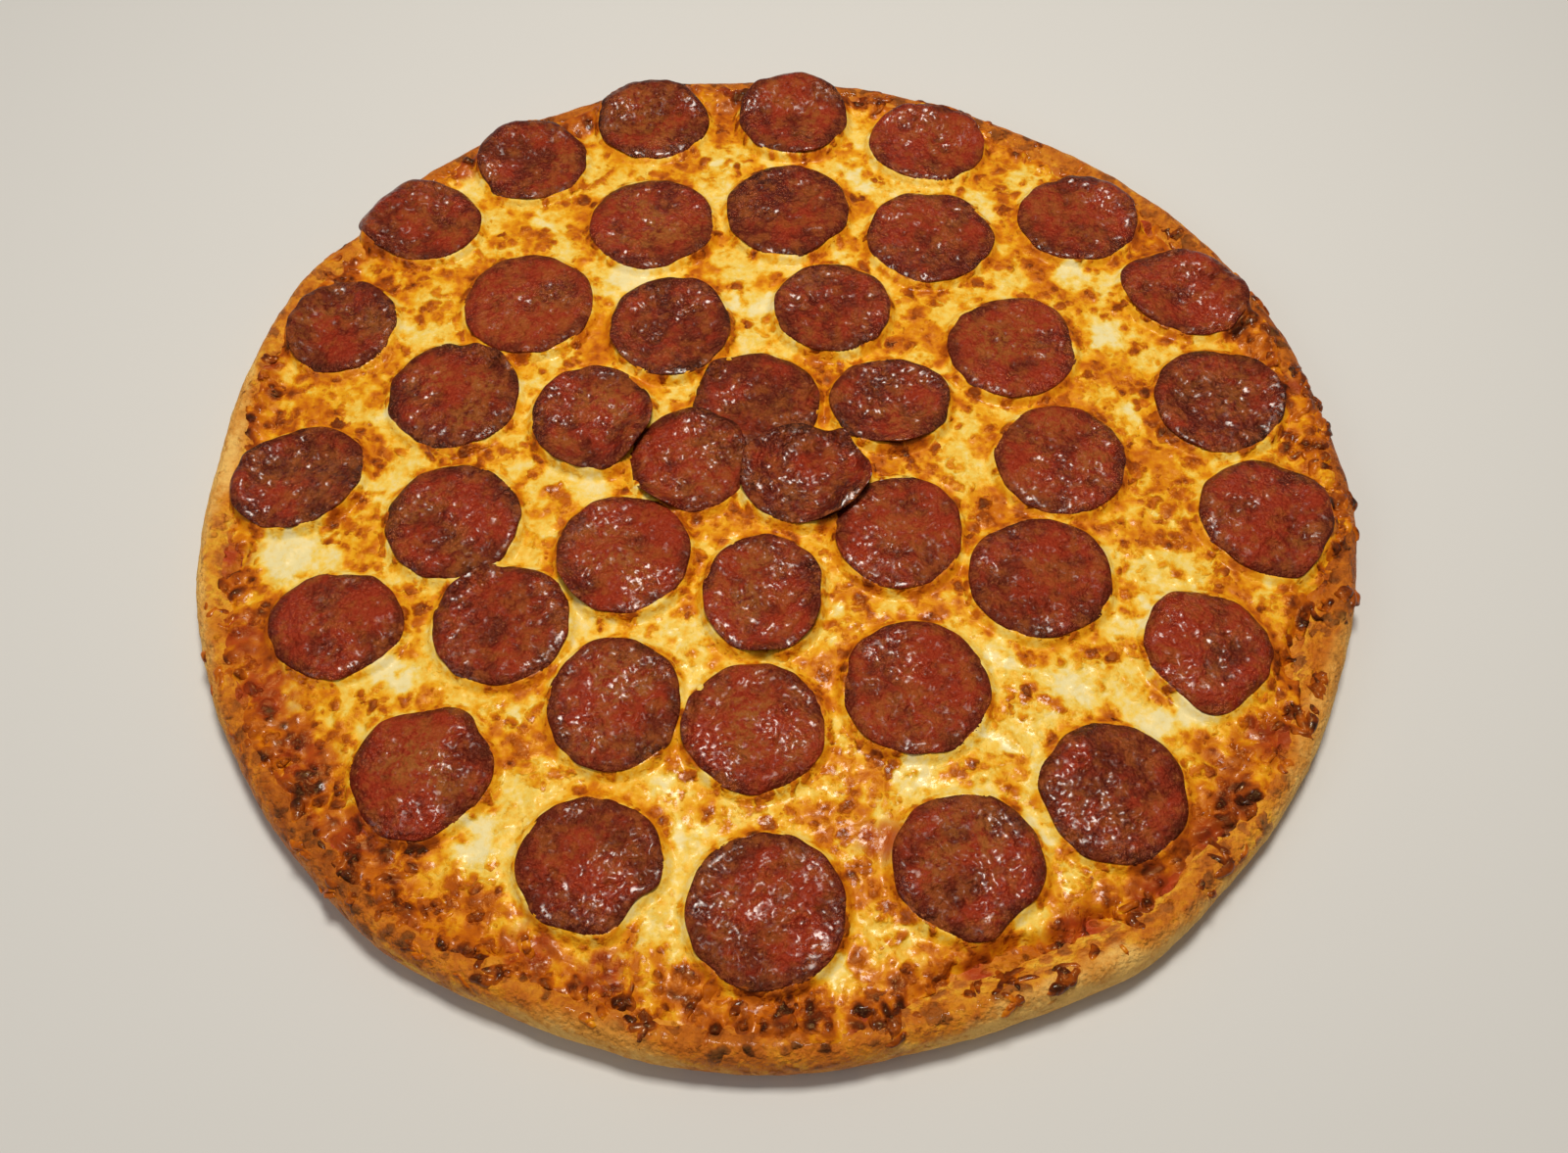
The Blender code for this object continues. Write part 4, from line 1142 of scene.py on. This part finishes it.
join_up(tree, shader, colour, wet, 0.95, wrinkle.outputs["Height"], 0.8 * MM)
print("pepperoni finish:", len(tree.nodes), "nodes")

# %% [markdown]
# Each slice starts from the two plates that were read off its solid. Folds are added with the
# same noise as before, strongest in the middle, and the edge is rolled down a little, as heat
# rounds it. The same functions make every slice, and a number of its own gives each one its
# wobbles and folds, so that no two look alike.

# %% The shape of a slice
SLICE_RINGS = 38
EDGE_ROLL, ROLL_START, ROLL_WIDTH = 0.8 * MM, 0.84, 0.16
disc_share, disc_bearing, disc_triangles = disc(SLICE_RINGS)


def slice_top(piece, draw, seed):
    """The plate's top over a wobbly outline, plus folds, less the roll of the edge."""
    share, direction = disc_share, disc_bearing
    phases = draw.uniform(0, TURN, 14)
    wobble = sum(draw.uniform(0, 1.1) * MM / n * np.sin(n * direction + p)
                 for n, p in zip(range(5, 19), phases))
    away = share * (piece["outline"](direction) + wobble * share**4)
    x = piece["middle"][0] + away * np.cos(direction)
    y = piece["middle"][1] + away * np.sin(direction)
    lobes = sum(a * np.cos(n * direction + p) for n, a, p in
                zip((2, 3, 5), draw.uniform(0.1, 0.35, 3), draw.uniform(0, TURN, 3)))
    wrinkles = (
        0.70 * (ridges(x, y, 8 * MM, seed, 2) - 0.5)
        + 0.70 * sway(x, y, 2.2 * MM, seed + 1, 2)
        + 0.85 * (ridges(x, y, 4 * MM, seed + 6, 2) - 0.5)
        + 1.10 * sway(x, y, 10 * MM, seed + 2, 1)
    )
    relief = MM * (wrinkles * (1 - 0.75 * share**5) + lobes * share**3)
    roll = EDGE_ROLL * np.clip((share - ROLL_START) / ROLL_WIDTH, 0, 1) ** 2
    return x, y, piece["top"](x, y) + relief - roll, relief


def slice_underside(piece, x, y, top, relief):
    """Rows from the top's edge, round it and in under the slice, and the pole they close on."""
    ring = slice(len(x) - 6 * SLICE_RINGS, None)
    edge = np.column_stack([x, y, top])[ring]
    middle = np.append(piece["middle"], 0)
    under_edge = piece["under"](x[ring], y[ring]) + relief[ring] * 0.6
    half_way = 0.5 * (edge[:, 2:] + under_edge[:, None])
    rows = [middle + (edge - middle) * [1.006, 1.006, 0] + [0, 0, 1] * half_way]
    for inward in (0.99, 0.85, 0.5):
        spot = middle + (edge - middle) * [inward, inward, 0]
        fade = (inward / 0.99) ** 6
        spot[:, 2] = piece["under"](spot[:, 0], spot[:, 1]) + relief[ring] * 0.6 * fade
        rows.append(spot)
    pole = [[*piece["middle"], float(piece["under"](*piece["middle"][:, None])[0])]]
    return np.array(rows), pole


print("points in a slice's top:", len(disc_share))

# %% [markdown]
# A slice's colour comes from three masks. The first is how dark the meat is: charred darker at the
# rim, and darker in the hollows between folds and paler on their crests, which is painted shade and
# painted light. Oil is where fat soaked the meat and turned it tan. Shine is where a film of fat
# lies on top, in one or two patches on each slice, and only there does it sparkle.

# %% The slices
def bake_slice(piece, number):
    """A slice's closed skin, with masks for its char with painted shade in its folds, oil and shine
    at each point.
    """
    draw, seed = np.random.default_rng(300 + number), 500 + 7 * number
    x, y, top, relief = slice_top(piece, draw, seed)
    rows, pole = slice_underside(piece, x, y, top, relief)
    places, skin = close_under(np.column_stack([x, y, top]), disc_triangles, SLICE_RINGS,
                               rows, pole)
    extra = len(places) - len(x)
    tone = draw.uniform(-0.12, 0.12)
    rimward = np.append(disc_share, np.ones(extra))
    relief = np.append(relief, np.zeros(extra))
    x, y = places[:, 0], places[:, 1]
    rim_band = smooth_step(0.78, 0.98, rimward + 0.25 * sway(x, y, 6 * MM, seed + 8, 2))
    # Char, with painted shade: the last term darkens the hollows between folds and lightens their
    # crests.
    char = (0.46 + tone + 0.6 * sway(x, y, 7 * MM, seed + 3, 3) + 0.24 * rim_band
            - 0.30 * relief / MM)
    fatty = smooth_step(0.42, 0.70, clouds(x, y, 11 * MM, seed + 4, 3))
    oil = fatty * (1 - rimward**3) * draw.uniform(0.25, 0.9)
    shine = 0.12 + 0.95 * smooth_step(0.36, 0.64, clouds(x, y, 13 * MM, seed + 5, 2))
    char, oil, shine = (np.clip(values, 0, 1) for values in (char, oil, shine))
    return new_piece("baked_" + piece["name"], places, skin, pepperoni_finish, piece["name"],
                     "pepperoni", char=char, oil=oil, shine=shine)


baked = [bake_slice(piece, number) for number, piece in enumerate(slices)]
print("slices:", len(baked), "triangles each:", len(baked[0].data.polygons))

# %% [markdown]
# The stage is a plain pale floor. It lies a hair below the crust, so that the two never fight for
# one plane.

# %% The floor
SPAN, FLOOR_DROP = 3.0, 0.2 * MM
floor_mesh = bpy.data.meshes.new("floor")
floor_mesh.from_pydata([(-SPAN, -SPAN, 0), (SPAN, -SPAN, 0), (SPAN, SPAN, 0), (-SPAN, SPAN, 0)],
                       [], [(0, 1, 2, 3)])
floor = bpy.data.objects.new("floor", floor_mesh)
bpy.context.scene.collection.objects.link(floor)
floor_finish, tree, shader = new_finish("pale_floor", Roughness=0.8)
shader.inputs["Base Color"].default_value = (0.72, 0.71, 0.69, 1)
floor_mesh.materials.append(floor_finish)
floor.location.z = -FLOOR_DROP
print("floor:", 2 * SPAN, "m across")

# %% [markdown]
# The light is that of a plain studio. One broad lamp stands above and a little behind the pizza,
# so that oily surfaces catch it towards the viewer. A weaker one stands at the side, and a dim sky
# fills the shadows.

# %% The light
def add_lamp(name, place, target, size, power, colour=(1, 1, 1)):
    """A square area lamp at a place, facing a target."""
    data = bpy.data.lights.new(name, "AREA")
    data.shape, data.size, data.energy, data.color = "SQUARE", size, power, colour
    lamp = bpy.data.objects.new(name, data)
    lamp.location = place
    lamp.rotation_euler = (Vector(target) - Vector(place)).to_track_quat("-Z", "Y").to_euler()
    bpy.context.scene.collection.objects.link(lamp)
    return lamp


key = add_lamp("overhead", (0.03, 0.17, 1.0), (0, 0, 0), 0.24, 8.0, (1.0, 0.95, 0.86))
fill = add_lamp("side", (-0.9, -0.5, 0.9), (0, 0, 0), 0.6, 1.5)
world = bpy.data.worlds.new("room")
world.use_nodes = True
world.node_tree.nodes["Background"].inputs["Color"].default_value = (1.0, 0.95, 0.88, 1)
world.node_tree.nodes["Background"].inputs["Strength"].default_value = 0.17
bpy.context.scene.world = world
bpy.context.scene.view_settings.view_transform = "Standard"
print("lamps:", [lamp.name for lamp in (key, fill)])

# %% [markdown]
# The camera looks down at sixty degrees, as a person standing over the table would. Its place and
# lens were found by setting the outline of the render against that of the real pizza.

# %% The camera
TILT_FROM_STRAIGHT_DOWN = 30
camera = bpy.data.objects.new("camera", bpy.data.cameras.new("camera"))
camera.location = (0.0013, -0.2659, 0.4132)
camera.rotation_euler = (math.radians(TILT_FROM_STRAIGHT_DOWN), 0, 0)
camera.data.lens, camera.data.sensor_width = 35.1, 36
camera.data.clip_start = 0.01
bpy.context.scene.collection.objects.link(camera)
bpy.context.scene.camera = camera
print("camera:", tuple(round(value, 3) for value in camera.location), "lens:", camera.data.lens)
